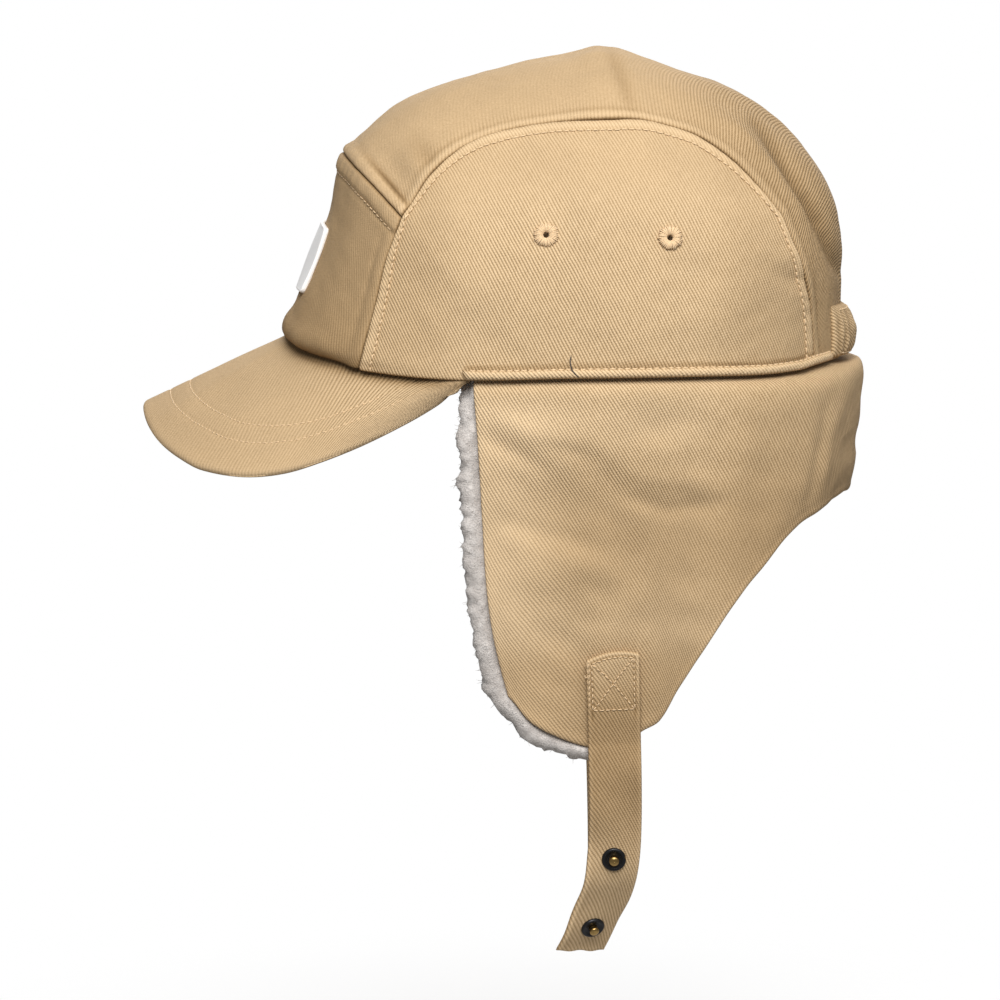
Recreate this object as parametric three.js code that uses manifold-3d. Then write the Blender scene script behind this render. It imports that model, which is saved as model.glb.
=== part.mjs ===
// Earflap cap with a curved peak, a lined ear and neck flap and two snap straps. Millimetres.
// The origin is the middle of the head opening, where the cap sits on a head.
// +Z is up, the peak points to -Y and the wearer's left is +X.
import * as THREE from 'three';
import Module from 'manifold-3d';

const wasm = await Module();
wasm.setup();

// Crown: a domed skin about a core point; the plan and the front view share one rounded outline.
const CORE_Y = -3;
const CORE_Z = -6;
const CROWN_HALF_WIDTH = 88;
const CROWN_FULLNESS = 2.45;
const CROWN_CLOTH = 2.0;
const SEAM_GAP = 0.4;
const SEAT_GAP = 0.35;

// Middle line of the crown seen from the side, front rim first.
const MIDDLE_LINE = [
  { y: -109.8, z: 2.0 }, { y: -111.2, z: 8.0 }, { y: -111.8, z: 12.4 }, { y: -108.0, z: 20.1 },
  { y: -104.4, z: 27.9 }, { y: -99.6, z: 40.0 }, { y: -95.6, z: 50.2 }, { y: -92.8, z: 59.0 },
  { y: -90.8, z: 68.0 }, { y: -86.8, z: 80.9 }, { y: -81.0, z: 87.6 }, { y: -73.3, z: 94.4 },
  { y: -65.6, z: 99.8 }, { y: -50.2, z: 106.7 }, { y: -34.9, z: 111.3 }, { y: -19.5, z: 115.0 },
  { y: -4.2, z: 117.9 }, { y: 11.1, z: 120.6 }, { y: 26.5, z: 117.3 }, { y: 41.8, z: 112.4 },
  { y: 57.2, z: 106.6 }, { y: 72.6, z: 98.0 }, { y: 80.3, z: 91.4 }, { y: 88.1, z: 83.4 },
  { y: 95.9, z: 72.8 }, { y: 99.8, z: 65.0 }, { y: 103.0, z: 51.0 }, { y: 103.4, z: 35.6 },
  { y: 103.1, z: 24.0 }, { y: 102.9, z: 3.0 },
];
// Height of the crown's lower edge from front to back.
const RIM = [
  { y: -111.5, z: 12.5 }, { y: -110.6, z: 12.0 }, { y: -109.2, z: 10.0 }, { y: -104, z: 7.2 },
  { y: -88, z: 4.0 }, { y: -73, z: 1.3 },
  { y: -38, z: -0.7 }, { y: -2, z: 0.0 }, { y: 46, z: 0.4 }, { y: 69, z: 0.4 },
  { y: 83, z: 1.2 }, { y: 90, z: 2.7 }, { y: 97, z: 3.6 }, { y: 106, z: 3.6 },
];
// Seams of a side panel seen from the side: up its front, over its arch, down its back.
const FRONT_SEAM = [{ y: -79.6, z: 2.4 }, { y: -72.8, z: 27.7 }, { y: -69.0, z: 42.3 }, { y: -63.3, z: 58.1 }];
const ARCH_SEAM = [
  { y: -63.3, z: 58.1 }, { y: -54.8, z: 71.2 }, { y: -46.0, z: 80.2 }, { y: -36.0, z: 86.4 },
  { y: -22.0, z: 90.6 }, { y: -3.0, z: 93.2 }, { y: 16.9, z: 93.9 }, { y: 31.7, z: 92.4 },
  { y: 46.4, z: 87.6 }, { y: 61.4, z: 76.6 }, { y: 76.6, z: 58.5 },
];
const REAR_SEAM = [{ y: 76.6, z: 58.5 }, { y: 83.8, z: 41.6 }, { y: 88.4, z: 24.0 }, { y: 90.5, z: 2.8 }];
const CREST_SEAM_ANGLE = 46.0;
// Soft folds of the crown: a line in the side view, with a half width and a height along the skin's normal.
const CROWN_FOLDS = [
  { y0: 11, z0: 124, y1: 25, z1: 92, reach: 7, height: 1.4 },
  { y0: -72, z0: 80, y1: -60, z1: 66, reach: 6, height: -1.6 },
  { y0: 62, z0: 92, y1: 93, z1: 48, reach: 5, height: 1.3 },
  { y0: 76, z0: 84, y1: 97, z1: 40, reach: 4, height: -1.2 },
  { y0: 78, z0: 37, y1: 88, z1: 34, reach: 4, height: -1.2 },
];

// Ear and neck flap: lower edge by the turn about the core, 0 at the left side and 90 at the back.
const FLAP_CLOTH = 2.0;
const FLAP_INSET = 2.6;
const FLAP_TUCK = 5;
const FLAP_FRONT = -22.2;
const FLAP_EDGE = [
  { turn: -27, y: -33.5, z: -112.5, x: 79 }, { turn: -22.2, y: -24.2, z: -118.6, x: 78 },
  { turn: -17.4, y: -16.1, z: -128.1, x: 77 }, { turn: -11, y: -5.0, z: -134.3, x: 76 },
  { turn: -4.5, y: 6.2, z: -138.2, x: 75.5 }, { turn: 3.2, y: 16.5, z: -139.6, x: 75.5 },
  { turn: 11.1, y: 25.5, z: -132.2, x: 75.5 }, { turn: 16.1, y: 32.2, z: -128.0, x: 76 },
  { turn: 23.5, y: 38.7, z: -116.3, x: 76.5 }, { turn: 30.2, y: 45.8, z: -105.0, x: 77 },
  { turn: 39.3, y: 60.7, z: -82.6, x: 77 }, { turn: 47, y: 72.7, z: -68.3, x: 72 },
  { turn: 54, y: 82.3, z: -57.9, x: 65 }, { turn: 62.8, y: 92.7, z: -51.9, x: 52 },
  { turn: 74.1, y: 103.0, z: -48.4, x: 29 }, { turn: 90, y: 107.0, z: -49.0, x: 0 },
  { turn: 105.9, y: 103.0, z: -48.4, x: -29 },
];
// How far the flap swells past the rim, and how far the fleece shows below the cloth.
const FLAP_SWELL = [
  { turn: -27, swell: 3.2, fleece: 2.5 }, { turn: -22, swell: 3.4, fleece: 8 }, { turn: -12, swell: 4.0, fleece: 6 },
  { turn: 8, swell: 4.4, fleece: 2 }, { turn: 25, swell: 4.8, fleece: 0.5 }, { turn: 45, swell: 6.0, fleece: 0 },
  { turn: 65, swell: 9.0, fleece: 0 }, { turn: 90, swell: 10.4, fleece: 0 }, { turn: 115, swell: 9.0, fleece: 0 },
];
const FLAP_FOLDS = [
  { y0: -30, z0: -34, y1: 22, z1: -62, reach: 9, height: -1.8 },
  { y0: -10, z0: -22, y1: 40, z1: -30, reach: 10, height: 1.2 },
  { y0: 90, z0: -16, y1: 76, z1: -62, reach: 7, height: 2.2 },
  { y0: 76, z0: -12, y1: 62, z1: -60, reach: 8, height: -1.6 },
  { y0: 98, z0: -24, y1: 106, z1: -34, reach: 6, height: -1.5 },
];
const FLEECE_THICKNESS = 7;
const PEAK_CLEARANCE = 2.6;

// Peak: straight ribs from the crown's rim to the outer edge.
const PEAK_CLOTH = 3.6;
const PEAK_END_TURN = 67.4;
const PEAK_EDGE = [
  { along: 0, x: 0, y: -165.7, z: -15.4 }, { along: 12, x: 25, y: -162.0, z: -21.0 },
  { along: 21.5, x: 43, y: -155.1, z: -27.0 }, { along: 29, x: 57, y: -146.5, z: -31.4 },
  { along: 35.5, x: 66, y: -138.4, z: -34.3 }, { along: 44.5, x: 77, y: -122.8, z: -35.8 },
  { along: 53, x: 83, y: -107.8, z: -34.1 }, { along: 61, x: 86, y: -92.9, z: -29.4 },
  { along: 69, x: 87, y: -78.3, z: -23.5 }, { along: 78, x: 86.5, y: -63.7, z: -16.4 },
  { along: 87, x: 85.5, y: -49.1, z: -8.2 }, { along: 91, x: 84.5, y: -43.6, z: -4.6 },
];

// Trim.
const BINDING_HEIGHT = 3.4;
const BINDING_CLOTH = 1.3;
const BINDING_FRONT_Y = -41;
const BAND_HALF_WIDTH = 40;
const BAND_LOW = 4.2;
const BAND_HIGH = 24;
const BAND_SWELL = 5.7;
const LABEL_WIDTH = 62;
const LABEL_LOW = 27.5;
const LABEL_HIGH = 58;
const LABEL_CLOTH = 1.0;
const LABEL_CORNER = 2;
const EYELET_OUTER = 4.6;
const EYELET_HOLE = 1.5;
const EYELET_PLACES = [{ name: 'front', y: -10.4, z: 52.0 }, { name: 'rear', y: 34.8, z: 50.9 }];

// Straps: middle line by height, with the turn of the strap's face about its own length.
const STRAP_WIDTH = 19.6;
const STRAP_CLOTH = 1.8;
const STRAP_LEFT = [
  { z: -101, y: 14.2, x: 79, twist: 0 }, { z: -125, y: 14.9, x: 78, twist: 0 },
  { z: -142, y: 15.3, x: 78, twist: 0 }, { z: -165, y: 15.6, x: 75.5, twist: 2 },
  { z: -179, y: 15.0, x: 72.6, twist: 6 }, { z: -193, y: 12.6, x: 67.5, twist: 12 },
  { z: -206, y: 7.6, x: 61.0, twist: 19 }, { z: -218.8, y: 2.7, x: 53.5, twist: 23 },
];
const STRAP_RIGHT = [
  { z: -101, y: 14.2, x: 79, twist: 0 }, { z: -125, y: 15.4, x: 78.4, twist: 0 },
  { z: -142, y: 16.6, x: 78, twist: 0 }, { z: -165, y: 17.9, x: 77.4, twist: 0 },
  { z: -192, y: 18.6, x: 76.6, twist: 1 }, { z: -217, y: 18.8, x: 75.6, twist: 2 },
];
const SNAP_HEIGHTS = { upper: -179.5, lower: -207.5 };
const SNAP_RADIUS = 4.6;
const SNAP_RING_HOLE = 2.3;
const SNAP_RING_THICKNESS = 1.0;
const SNAP_POST_RADIUS = 1.9;
const SNAP_POST_HEIGHT = 3.2;
const SOCKET_THICKNESS = 2.6;
const SOCKET_HOLE = 2.2;
const SOCKET_DEPTH = 1.8;

// Colours and finishes.
const TWILL = { color: '#c9ad7e', roughness: 0.9, metalness: 0 };
const FLEECE = { color: '#d2cac8', roughness: 1, metalness: 0 };
const LABEL_WEAVE = { color: '#dad6d2', roughness: 0.8, metalness: 0 };
const THREAD = { color: '#ddbf9e', roughness: 0.7, metalness: 0 };
const BLACK_PAINT = { color: '#2a2a2c', roughness: 0.4, metalness: 0.6 };
const BRASS = { color: '#a08050', roughness: 0.35, metalness: 1 };

const radians = (degrees) => (degrees * Math.PI) / 180;
const degrees = (angle) => (angle * 180) / Math.PI;
const mix = (a, b, t) => a + (b - a) * t;
const vector = (x, y, z) => new THREE.Vector3(x, y, z);

// Smooth curve through the rows of a table: the value of one column at a place on another.
function curve(rows, by, want) {
  const places = rows.map((row) => row[by]);
  const values = rows.map((row) => row[want]);
  const last = rows.length - 1;
  const slopes = places.map((place, i) => {
    const before = Math.max(i - 1, 0);
    const after = Math.min(i + 1, last);
    return (values[after] - values[before]) / (places[after] - places[before]);
  });
  return (place) => {
    let i = 0;
    while (i < last - 1 && place > places[i + 1]) i += 1;
    const width = places[i + 1] - places[i];
    const t = THREE.MathUtils.clamp((place - places[i]) / width, 0, 1);
    const t2 = t * t;
    const t3 = t2 * t;
    return values[i] * (2 * t3 - 3 * t2 + 1) + slopes[i] * width * (t3 - 2 * t2 + t)
      + values[i + 1] * (3 * t2 - 2 * t3) + slopes[i + 1] * width * (t3 - t2);
  };
}

// Points spaced evenly along a side-view line.
function spaced(rows, count) {
  const lengths = [0];
  for (let i = 1; i < rows.length; i += 1) {
    lengths.push(lengths[i - 1] + Math.hypot(rows[i].y - rows[i - 1].y, rows[i].z - rows[i - 1].z));
  }
  const table = rows.map((row, i) => ({ ...row, length: lengths[i] }));
  const yAt = curve(table, 'length', 'y');
  const zAt = curve(table, 'length', 'z');
  const total = lengths[lengths.length - 1];
  return Array.from({ length: count + 1 }, (_, i) => ({ y: yAt((total * i) / count), z: zAt((total * i) / count) }));
}

// Crown skin. "share" is the sideways share of the half width, "angle" the side-view angle from the front.
const middleAngles = MIDDLE_LINE.map((row) => ({
  angle: degrees(Math.atan2(row.z - CORE_Z, CORE_Y - row.y)),
  reach: Math.hypot(row.z - CORE_Z, CORE_Y - row.y),
}));
const reachAt = curve(middleAngles, 'angle', 'reach');
const rimHeight = curve(RIM, 'y', 'z');
const rest = (part) => Math.max(1 - Math.abs(part) ** CROWN_FULLNESS, 0) ** (1 / CROWN_FULLNESS);
const angleAt = (y, z) => degrees(Math.atan2(z - CORE_Z, CORE_Y - y));

function skinByAngle(share, angle) {
  const reach = reachAt(angle) * rest(share);
  const turn = radians(angle);
  return vector(CROWN_HALF_WIDTH * share, CORE_Y - reach * Math.cos(turn), CORE_Z + reach * Math.sin(turn));
}

function skinBySide(y, z) {
  const part = Math.hypot(y - CORE_Y, z - CORE_Z) / reachAt(angleAt(y, z));
  return vector(CROWN_HALF_WIDTH * rest(Math.min(part, 1)), y, z);
}

function skinLevel(p) {
  const part = Math.hypot(p.y - CORE_Y, p.z - CORE_Z) / reachAt(angleAt(p.y, p.z));
  return (Math.abs(p.x) / CROWN_HALF_WIDTH) ** CROWN_FULLNESS + part ** CROWN_FULLNESS;
}

function skinNormal(p) {
  const step = 0.2;
  const slope = (x, y, z) => skinLevel(p.clone().add(vector(x, y, z))) - skinLevel(p.clone().sub(vector(x, y, z)));
  return vector(slope(step, 0, 0), slope(0, step, 0), slope(0, 0, step)).normalize();
}

function foldHeight(folds, y, z) {
  let height = 0;
  for (const fold of folds) {
    const along = vector(0, fold.y1 - fold.y0, fold.z1 - fold.z0);
    const from = vector(0, y - fold.y0, z - fold.z0);
    const t = THREE.MathUtils.clamp(from.dot(along) / along.lengthSq(), 0, 1);
    const away = from.sub(along.clone().multiplyScalar(t)).length() / fold.reach;
    height += fold.height * Math.sin(Math.PI * mix(0.15, 0.85, t)) * Math.exp(-away * away);
  }
  return height;
}

function lifted(p, lift) {
  return p.clone().addScaledVector(skinNormal(p), lift + foldHeight(CROWN_FOLDS, p.y, p.z));
}

// Closed cloth from two grids of points, the outer face and the inner one.
function clothSolid(outer, inner) {
  const rows = outer.length;
  const columns = outer[0].length;
  const positions = [];
  for (const grid of [outer, inner]) {
    for (const row of grid) {
      for (const p of row) positions.push(p.x, p.y, p.z);
    }
  }
  const at = (side, row, column) => side * rows * columns + row * columns + column;
  const faces = [];
  const quad = (a, b, c, d) => faces.push(a, b, c, a, c, d);
  for (let r = 0; r < rows - 1; r += 1) {
    for (let c = 0; c < columns - 1; c += 1) {
      quad(at(0, r, c), at(0, r, c + 1), at(0, r + 1, c + 1), at(0, r + 1, c));
      quad(at(1, r, c), at(1, r + 1, c), at(1, r + 1, c + 1), at(1, r, c + 1));
    }
    quad(at(0, r, 0), at(0, r + 1, 0), at(1, r + 1, 0), at(1, r, 0));
    quad(at(0, r, columns - 1), at(1, r, columns - 1), at(1, r + 1, columns - 1), at(0, r + 1, columns - 1));
  }
  for (let c = 0; c < columns - 1; c += 1) {
    quad(at(0, 0, c), at(1, 0, c), at(1, 0, c + 1), at(0, 0, c + 1));
    quad(at(0, rows - 1, c), at(0, rows - 1, c + 1), at(1, rows - 1, c + 1), at(1, rows - 1, c));
  }
  return facingOut(positions, faces);
}

function facingOut(positions, faces) {
  let volume = 0;
  const corner = (i) => vector(positions[3 * i], positions[3 * i + 1], positions[3 * i + 2]);
  for (let i = 0; i < faces.length; i += 3) {
    volume += corner(faces[i]).dot(corner(faces[i + 1]).cross(corner(faces[i + 2])));
  }
  if (volume < 0) faces.reverse();
  const geometry = new THREE.BufferGeometry();
  geometry.setAttribute('position', new THREE.Float32BufferAttribute(positions, 3));
  geometry.setIndex(faces);
  geometry.computeVertexNormals();
  return geometry;
}

const mirrored = (grid) => grid.map((row) => row.map((p) => vector(-p.x, p.y, p.z)));

// Blend of four border curves into a grid of pairs.
function coons(bottom, top, left, right) {
  const columns = bottom.length - 1;
  const rows = left.length - 1;
  const grid = [];
  for (let r = 0; r <= rows; r += 1) {
    const v = r / rows;
    grid.push([]);
    for (let c = 0; c <= columns; c += 1) {
      const u = c / columns;
      grid[r].push([0, 1].map((k) => mix(bottom[c][k], top[c][k], v) + mix(left[r][k], right[r][k], u)
        - mix(mix(bottom[0][k], bottom[columns][k], u), mix(top[0][k], top[columns][k], u), v)));
    }
  }
  return grid;
}

// Draws the borders of a grid in by a small gap: [first row, last row, first column, last column].
function trimmed(grid, amounts) {
  const rows = grid.length - 1;
  const columns = grid[0].length - 1;
  return grid.map((row, r) => row.map((p, c) => {
    const moved = p.clone();
    const pull = (other, amount) => moved.addScaledVector(other.clone().sub(p).normalize(), amount);
    if (r === 0) pull(grid[1][c], amounts[0]);
    if (r === rows) pull(grid[rows - 1][c], amounts[1]);
    if (c === 0) pull(row[1], amounts[2]);
    if (c === columns) pull(row[columns - 1], amounts[3]);
    return moved;
  }));
}

function crownPanel(skinGrid, amounts) {
  const outer = trimmed(skinGrid.map((row) => row.map((p) => lifted(p, 0))), amounts);
  const inner = trimmed(skinGrid.map((row) => row.map((p) => lifted(p, -CROWN_CLOTH))), amounts);
  return { outer, inner };
}

const SIDE_COLUMNS = 14;
const SIDE_ROWS = 8;
const TOP_COLUMNS = 12;
const frontSeam = spaced(FRONT_SEAM, SIDE_ROWS);
const archSeam = spaced(ARCH_SEAM, SIDE_COLUMNS);
const rearSeam = spaced(REAR_SEAM, SIDE_ROWS);
const shareOf = (place) => skinBySide(place.y, place.z).x / CROWN_HALF_WIDTH;
const byAngle = (place) => [shareOf(place), angleAt(place.y, place.z)];

function sidePanelSkin() {
  const foot = frontSeam[0];
  const heel = rearSeam[SIDE_ROWS];
  const bottom = Array.from({ length: SIDE_COLUMNS + 1 }, (_, c) => {
    const y = mix(foot.y, heel.y, c / SIDE_COLUMNS);
    return [y, mix(rimHeight(y), c === 0 ? foot.z : heel.z, c === 0 || c === SIDE_COLUMNS ? 1 : 0)];
  });
  const pair = (place) => [place.y, place.z];
  const grid = coons(bottom, archSeam.map(pair), frontSeam.map(pair), rearSeam.slice().reverse().map(pair));
  return grid.map((row) => row.map(([y, z]) => skinBySide(y, z)));
}

// Side-view angle of the rim at a sideways share, at the front or at the back.
function rimAngle(share, back) {
  let angle = back ? 176 : 6;
  for (let i = 0; i < 20; i += 1) {
    const p = skinByAngle(share, angle);
    angle = degrees(Math.atan2(rimHeight(p.y) - CORE_Z, CORE_Y - p.y));
  }
  return angle;
}

const across = (count) => Array.from({ length: count + 1 }, (_, i) => -1 + (2 * i) / count);
const seamJoin = byAngle(archSeam[0]);
const crossSeam = across(TOP_COLUMNS).map((t) => [seamJoin[0] * t, mix(CREST_SEAM_ANGLE, seamJoin[1], t * t)]);
const bothSides = (places) => {
  const right = places.map(byAngle);
  return [right.map(([share, angle]) => [-share, angle]), right];
};

function rimAcross(place, back) {
  const [share, angle] = byAngle(place);
  const miss = angle - rimAngle(share, back);
  return across(TOP_COLUMNS).map((t) => [share * t, rimAngle(share * t, back) + miss * t * t]);
}

function frontPanelSkin() {
  const [left, right] = bothSides(frontSeam);
  const grid = coons(rimAcross(frontSeam[0], false), crossSeam, left, right);
  return grid.map((row) => row.map(([share, angle]) => skinByAngle(share, angle)));
}

function topPanelSkin() {
  const [left, right] = bothSides([...archSeam, ...rearSeam.slice(1)]);
  const grid = coons(crossSeam, rimAcross(rearSeam[SIDE_ROWS], true), left, right);
  return grid.map((row) => row.map(([share, angle]) => skinByAngle(share, angle)));
}

// Plan outline of the crown at the rim by the turn about the core, 0 at the left side, 90 at the back.
function rimPlan(turn, inset) {
  const side = Math.cos(radians(turn));
  const back = Math.sin(radians(turn));
  const length = back > 0 ? 105.9 : 107.6;
  const level = Math.abs(side / CROWN_HALF_WIDTH) ** CROWN_FULLNESS + Math.abs(back / length) ** CROWN_FULLNESS;
  const reach = level ** (-1 / CROWN_FULLNESS) - inset;
  return vector(reach * side, CORE_Y + reach * back, 0);
}

const flapEdge = { x: curve(FLAP_EDGE, 'turn', 'x'), y: curve(FLAP_EDGE, 'turn', 'y'), z: curve(FLAP_EDGE, 'turn', 'z') };
const flapSwell = curve(FLAP_SWELL, 'turn', 'swell');
const fleeceBelow = curve(FLAP_SWELL, 'turn', 'fleece');

// Outward direction in plan at a turn.
function outward(turn) {
  const ahead = rimPlan(turn + 0.5, 0).sub(rimPlan(turn - 0.5, 0));
  return vector(ahead.y, -ahead.x, 0).normalize();
}

// Flap face at a turn on the left half (-27 to 90), "down" is 0 at the rim, 1 at the edge, below 0 in the crown.
function flapHalf(turn, down, inset, fullness) {
  const top = rimPlan(turn, inset);
  top.z = rimHeight(top.y);
  const low = vector(flapEdge.x(turn), flapEdge.y(turn), flapEdge.z(turn));
  if (down < 0) return vector(top.x, top.y, top.z - down * 100);
  const drop = Math.max((top.z - low.z) * down - 1.4, 0);
  // At the back the flap turns out sooner, and rolls up under the band.
  const back = THREE.MathUtils.smoothstep(turn, 66, 82);
  const opened = 1 - Math.exp(-drop / mix(4, 1.6, back));
  const fuller = 1 + 0.25 * back * Math.exp(-drop / 14);
  const swell = fullness * fuller * flapSwell(turn) * opened * (1 - Math.min(down, 1) ** 2.6);
  const bow = 3.8 * Math.sin(Math.PI * Math.min(down, 1) ** 1.9) * Math.exp(-(((turn + 18) / 11) ** 2));
  const p = top.lerp(low, down);
  const fold = fullness * foldHeight(FLAP_FOLDS, p.y, p.z) * Math.min(drop / 15, 1) * Math.min((1.1 - down) * 5, 1);
  p.addScaledVector(outward(turn), swell + fold);
  p.y -= bow;
  p.z += 10 * back * opened ** 3 * Math.exp(-drop / 5);
  return p;
}

// The same over the whole turn, from the left temple round the back (90) to the right temple.
function flapFace(turn, down, inset = FLAP_INSET, fullness = 1) {
  if (turn <= 90) return flapHalf(turn, down, inset, fullness);
  const p = flapHalf(180 - turn, down, inset, fullness);
  return vector(-p.x, p.y, p.z);
}

function flapNormal(turn, down) {
  const aside = flapFace(turn + 0.3, down).sub(flapFace(turn - 0.3, down));
  const below = flapFace(turn, down + 0.006).sub(flapFace(turn, Math.max(down - 0.006, 0)));
  return below.cross(aside).normalize();
}

function flapLayer(turn, down, depth) {
  const normal = down < 0.02 ? outward(turn <= 90 ? turn : 180 - turn) : flapNormal(turn, down);
  if (down < 0.02 && turn > 90) normal.x = -normal.x;
  return flapFace(turn, down).addScaledVector(normal, -depth);
}

const FLAP_COLUMNS = 36;
const FLAP_DOWNS = [-FLAP_TUCK / 100, 0, 0.05, 0.13, 0.25, 0.4, 0.56, 0.72, 0.87, 1];
const flapTurns = Array.from({ length: FLAP_COLUMNS + 1 }, (_, i) => mix(FLAP_FRONT, 180 - FLAP_FRONT, i / FLAP_COLUMNS));
const FLEECE_FRONT = FLAP_FRONT - 4.2;
const fleeceTurns = [FLEECE_FRONT, ...flapTurns, 180 - FLEECE_FRONT];

function flapShell() {
  const outer = FLAP_DOWNS.map((down) => flapTurns.map((turn) => flapLayer(turn, down, 0)));
  const inner = FLAP_DOWNS.map((down) => flapTurns.map((turn) => flapLayer(turn, down, FLAP_CLOTH)));
  return clothSolid(outer, inner);
}

function flapLining() {
  const outer = [];
  const inner = [];
  for (const down of [...FLAP_DOWNS, 2]) {
    outer.push([]);
    inner.push([]);
    for (const turn of fleeceTurns) {
      const half = turn <= 90 ? turn : 180 - turn;
      const length = rimHeight(rimPlan(half, 0).y) - flapEdge.z(half);
      const below = down === 2 ? 1 + (fleeceBelow(half) + 0.6) / length : Math.min(down, 1);
      const pastPeak = half < FLAP_FRONT && below < 0.2 ? PEAK_CLEARANCE : 0;
      outer[outer.length - 1].push(flapLayer(turn, below, FLAP_CLOTH + SEAT_GAP + pastPeak));
      const back = flapFace(turn, below, FLAP_INSET + FLAP_CLOTH + FLEECE_THICKNESS, 0.55);
      const side = outward(half);
      if (turn > 90) side.x = -side.x;
      back.addScaledVector(side, -(FLAP_CLOTH + FLEECE_THICKNESS) * THREE.MathUtils.clamp(below, 0, 1));
      inner[inner.length - 1].push(back);
    }
  }
  return clothSolid(outer, inner);
}

// Turn and drop of the flap's face at a place of the side view.
function flapAt(y, z) {
  let turn = 5;
  let down = 0.5;
  for (let i = 0; i < 60; i += 1) {
    const top = rimHeight(rimPlan(turn, FLAP_INSET).y);
    down = (top - z) / (top - flapEdge.z(turn));
    turn += (y - flapFace(turn, down).y) * 0.5;
  }
  return { turn, down };
}

// Peak: upper face by "along" (0 at the crest, 1 at an end) and "out" (0 at the rim, 1 at the edge).
const lastAlong = PEAK_EDGE[PEAK_EDGE.length - 1].along;
// The first row is mirrored, so that the edge is smooth in the middle.
const peakRows = [{ ...PEAK_EDGE[1], along: -PEAK_EDGE[1].along, x: -PEAK_EDGE[1].x }, ...PEAK_EDGE];
const peakEdge = { x: curve(peakRows, 'along', 'x'), y: curve(peakRows, 'along', 'y'), z: curve(peakRows, 'along', 'z') };

function peakFace(along, out) {
  const part = Math.abs(along);
  const root = rimPlan(-90 + PEAK_END_TURN * part, 1.2);
  root.z = rimHeight(root.y) - SEAT_GAP;
  const edge = vector(peakEdge.x(part * lastAlong), peakEdge.y(part * lastAlong), peakEdge.z(part * lastAlong));
  const p = root.lerp(edge, out);
  return vector(along < 0 ? -p.x : p.x, p.y, p.z);
}

function peakNormal(along, out) {
  const step = 0.01;
  const aside = peakFace(Math.min(along + step, 1), out).sub(peakFace(Math.max(along - step, -1), out));
  const ahead = peakFace(along, Math.min(out + step, 1)).sub(peakFace(along, Math.max(out - step, 0)));
  const normal = ahead.cross(aside).normalize();
  return normal.z < 0 ? normal.negate() : normal;
}

function peakSolid() {
  const upper = [];
  const lower = [];
  for (const out of [0, 0.25, 0.5, 0.75, 0.93, 1]) {
    upper.push([]);
    lower.push([]);
    for (let c = 0; c <= 28; c += 1) {
      const along = -1 + c / 14;
      const p = peakFace(along, out);
      const down = peakNormal(along, out).negate();
      upper[upper.length - 1].push(p.clone().addScaledVector(down, out === 1 ? PEAK_CLOTH * 0.2 : 0));
      lower[lower.length - 1].push(p.clone().addScaledVector(down, out === 1 ? PEAK_CLOTH * 0.8 : PEAK_CLOTH));
    }
  }
  return clothSolid(upper, lower);
}

// Point on the crown's skin at the rim line or above it, by y on the side or by x on the back.
function hemSkin(place, height) {
  if (place.y !== undefined) return skinBySide(place.y, rimHeight(place.y) + height);
  const share = place.x / CROWN_HALF_WIDTH;
  let angle = rimAngle(share, true);
  for (let i = 0; i < 8; i += 1) {
    const p = skinByAngle(share, angle);
    angle = degrees(Math.atan2(rimHeight(p.y) + height - CORE_Z, CORE_Y - p.y));
  }
  return skinByAngle(share, angle);
}

function bindingSolid(sign) {
  const places = [];
  for (let y = BINDING_FRONT_Y; y < 74; y += 9.5) places.push({ y });
  for (const x of [62, 56, 50, 45.5, BAND_HALF_WIDTH + 0.8]) places.push({ x });
  const layer = (lift) => [0, BINDING_HEIGHT].map((height) => places.map((place) => {
    return lifted(hemSkin(place, height), lift);
  }));
  const round = (grid) => [grid[0], grid[1]];
  const inner = layer(SEAT_GAP);
  const outer = layer(SEAT_GAP + BINDING_CLOTH);
  if (sign < 0) return clothSolid(mirrored(round(outer)), mirrored(inner));
  return clothSolid(round(outer), inner);
}

function bandSolid() {
  const outer = [];
  const inner = [];
  for (let r = 0; r <= 6; r += 1) {
    const v = r / 6;
    outer.push([]);
    inner.push([]);
    for (let c = 0; c <= 16; c += 1) {
      const x = mix(-BAND_HALF_WIDTH, BAND_HALF_WIDTH, c / 16);
      const share = Math.abs(x) / BAND_HALF_WIDTH;
      const skin = hemSkin({ x }, mix(BAND_LOW, BAND_HIGH, v) - rimHeight(103));
      const lowSet = 2 * v ** 0.75 - 1;
      const swell = Math.sqrt(Math.max(1 - lowSet ** 2 * 0.94, 0)) * (1 - 0.75 * share ** 6);
      inner[r].push(lifted(skin, SEAT_GAP));
      outer[r].push(lifted(skin, SEAT_GAP + 0.8 + (BAND_SWELL - 0.8) * swell));
    }
  }
  return clothSolid(outer, inner);
}

function labelSolid() {
  const outer = [];
  const inner = [];
  for (const v of [0, 0.02, 0.08, 0.3, 0.5, 0.7, 0.92, 0.98, 1]) {
    const height = mix(LABEL_LOW, LABEL_HIGH, v);
    const fromEnd = Math.min(v, 1 - v) * (LABEL_HIGH - LABEL_LOW);
    const corner = Math.max(LABEL_CORNER - fromEnd, 0);
    const half = LABEL_WIDTH / 2 - LABEL_CORNER + Math.sqrt(LABEL_CORNER ** 2 - corner ** 2);
    outer.push([]);
    inner.push([]);
    for (let c = 0; c <= 10; c += 1) {
      const share = (mix(-half, half, c / 10)) / CROWN_HALF_WIDTH;
      const skin = skinByAngle(share, degrees(Math.atan2(height - CORE_Z, 97)));
      inner[inner.length - 1].push(lifted(skin, SEAT_GAP));
      outer[outer.length - 1].push(lifted(skin, SEAT_GAP + LABEL_CLOTH));
    }
  }
  return clothSolid(outer, inner);
}

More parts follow.
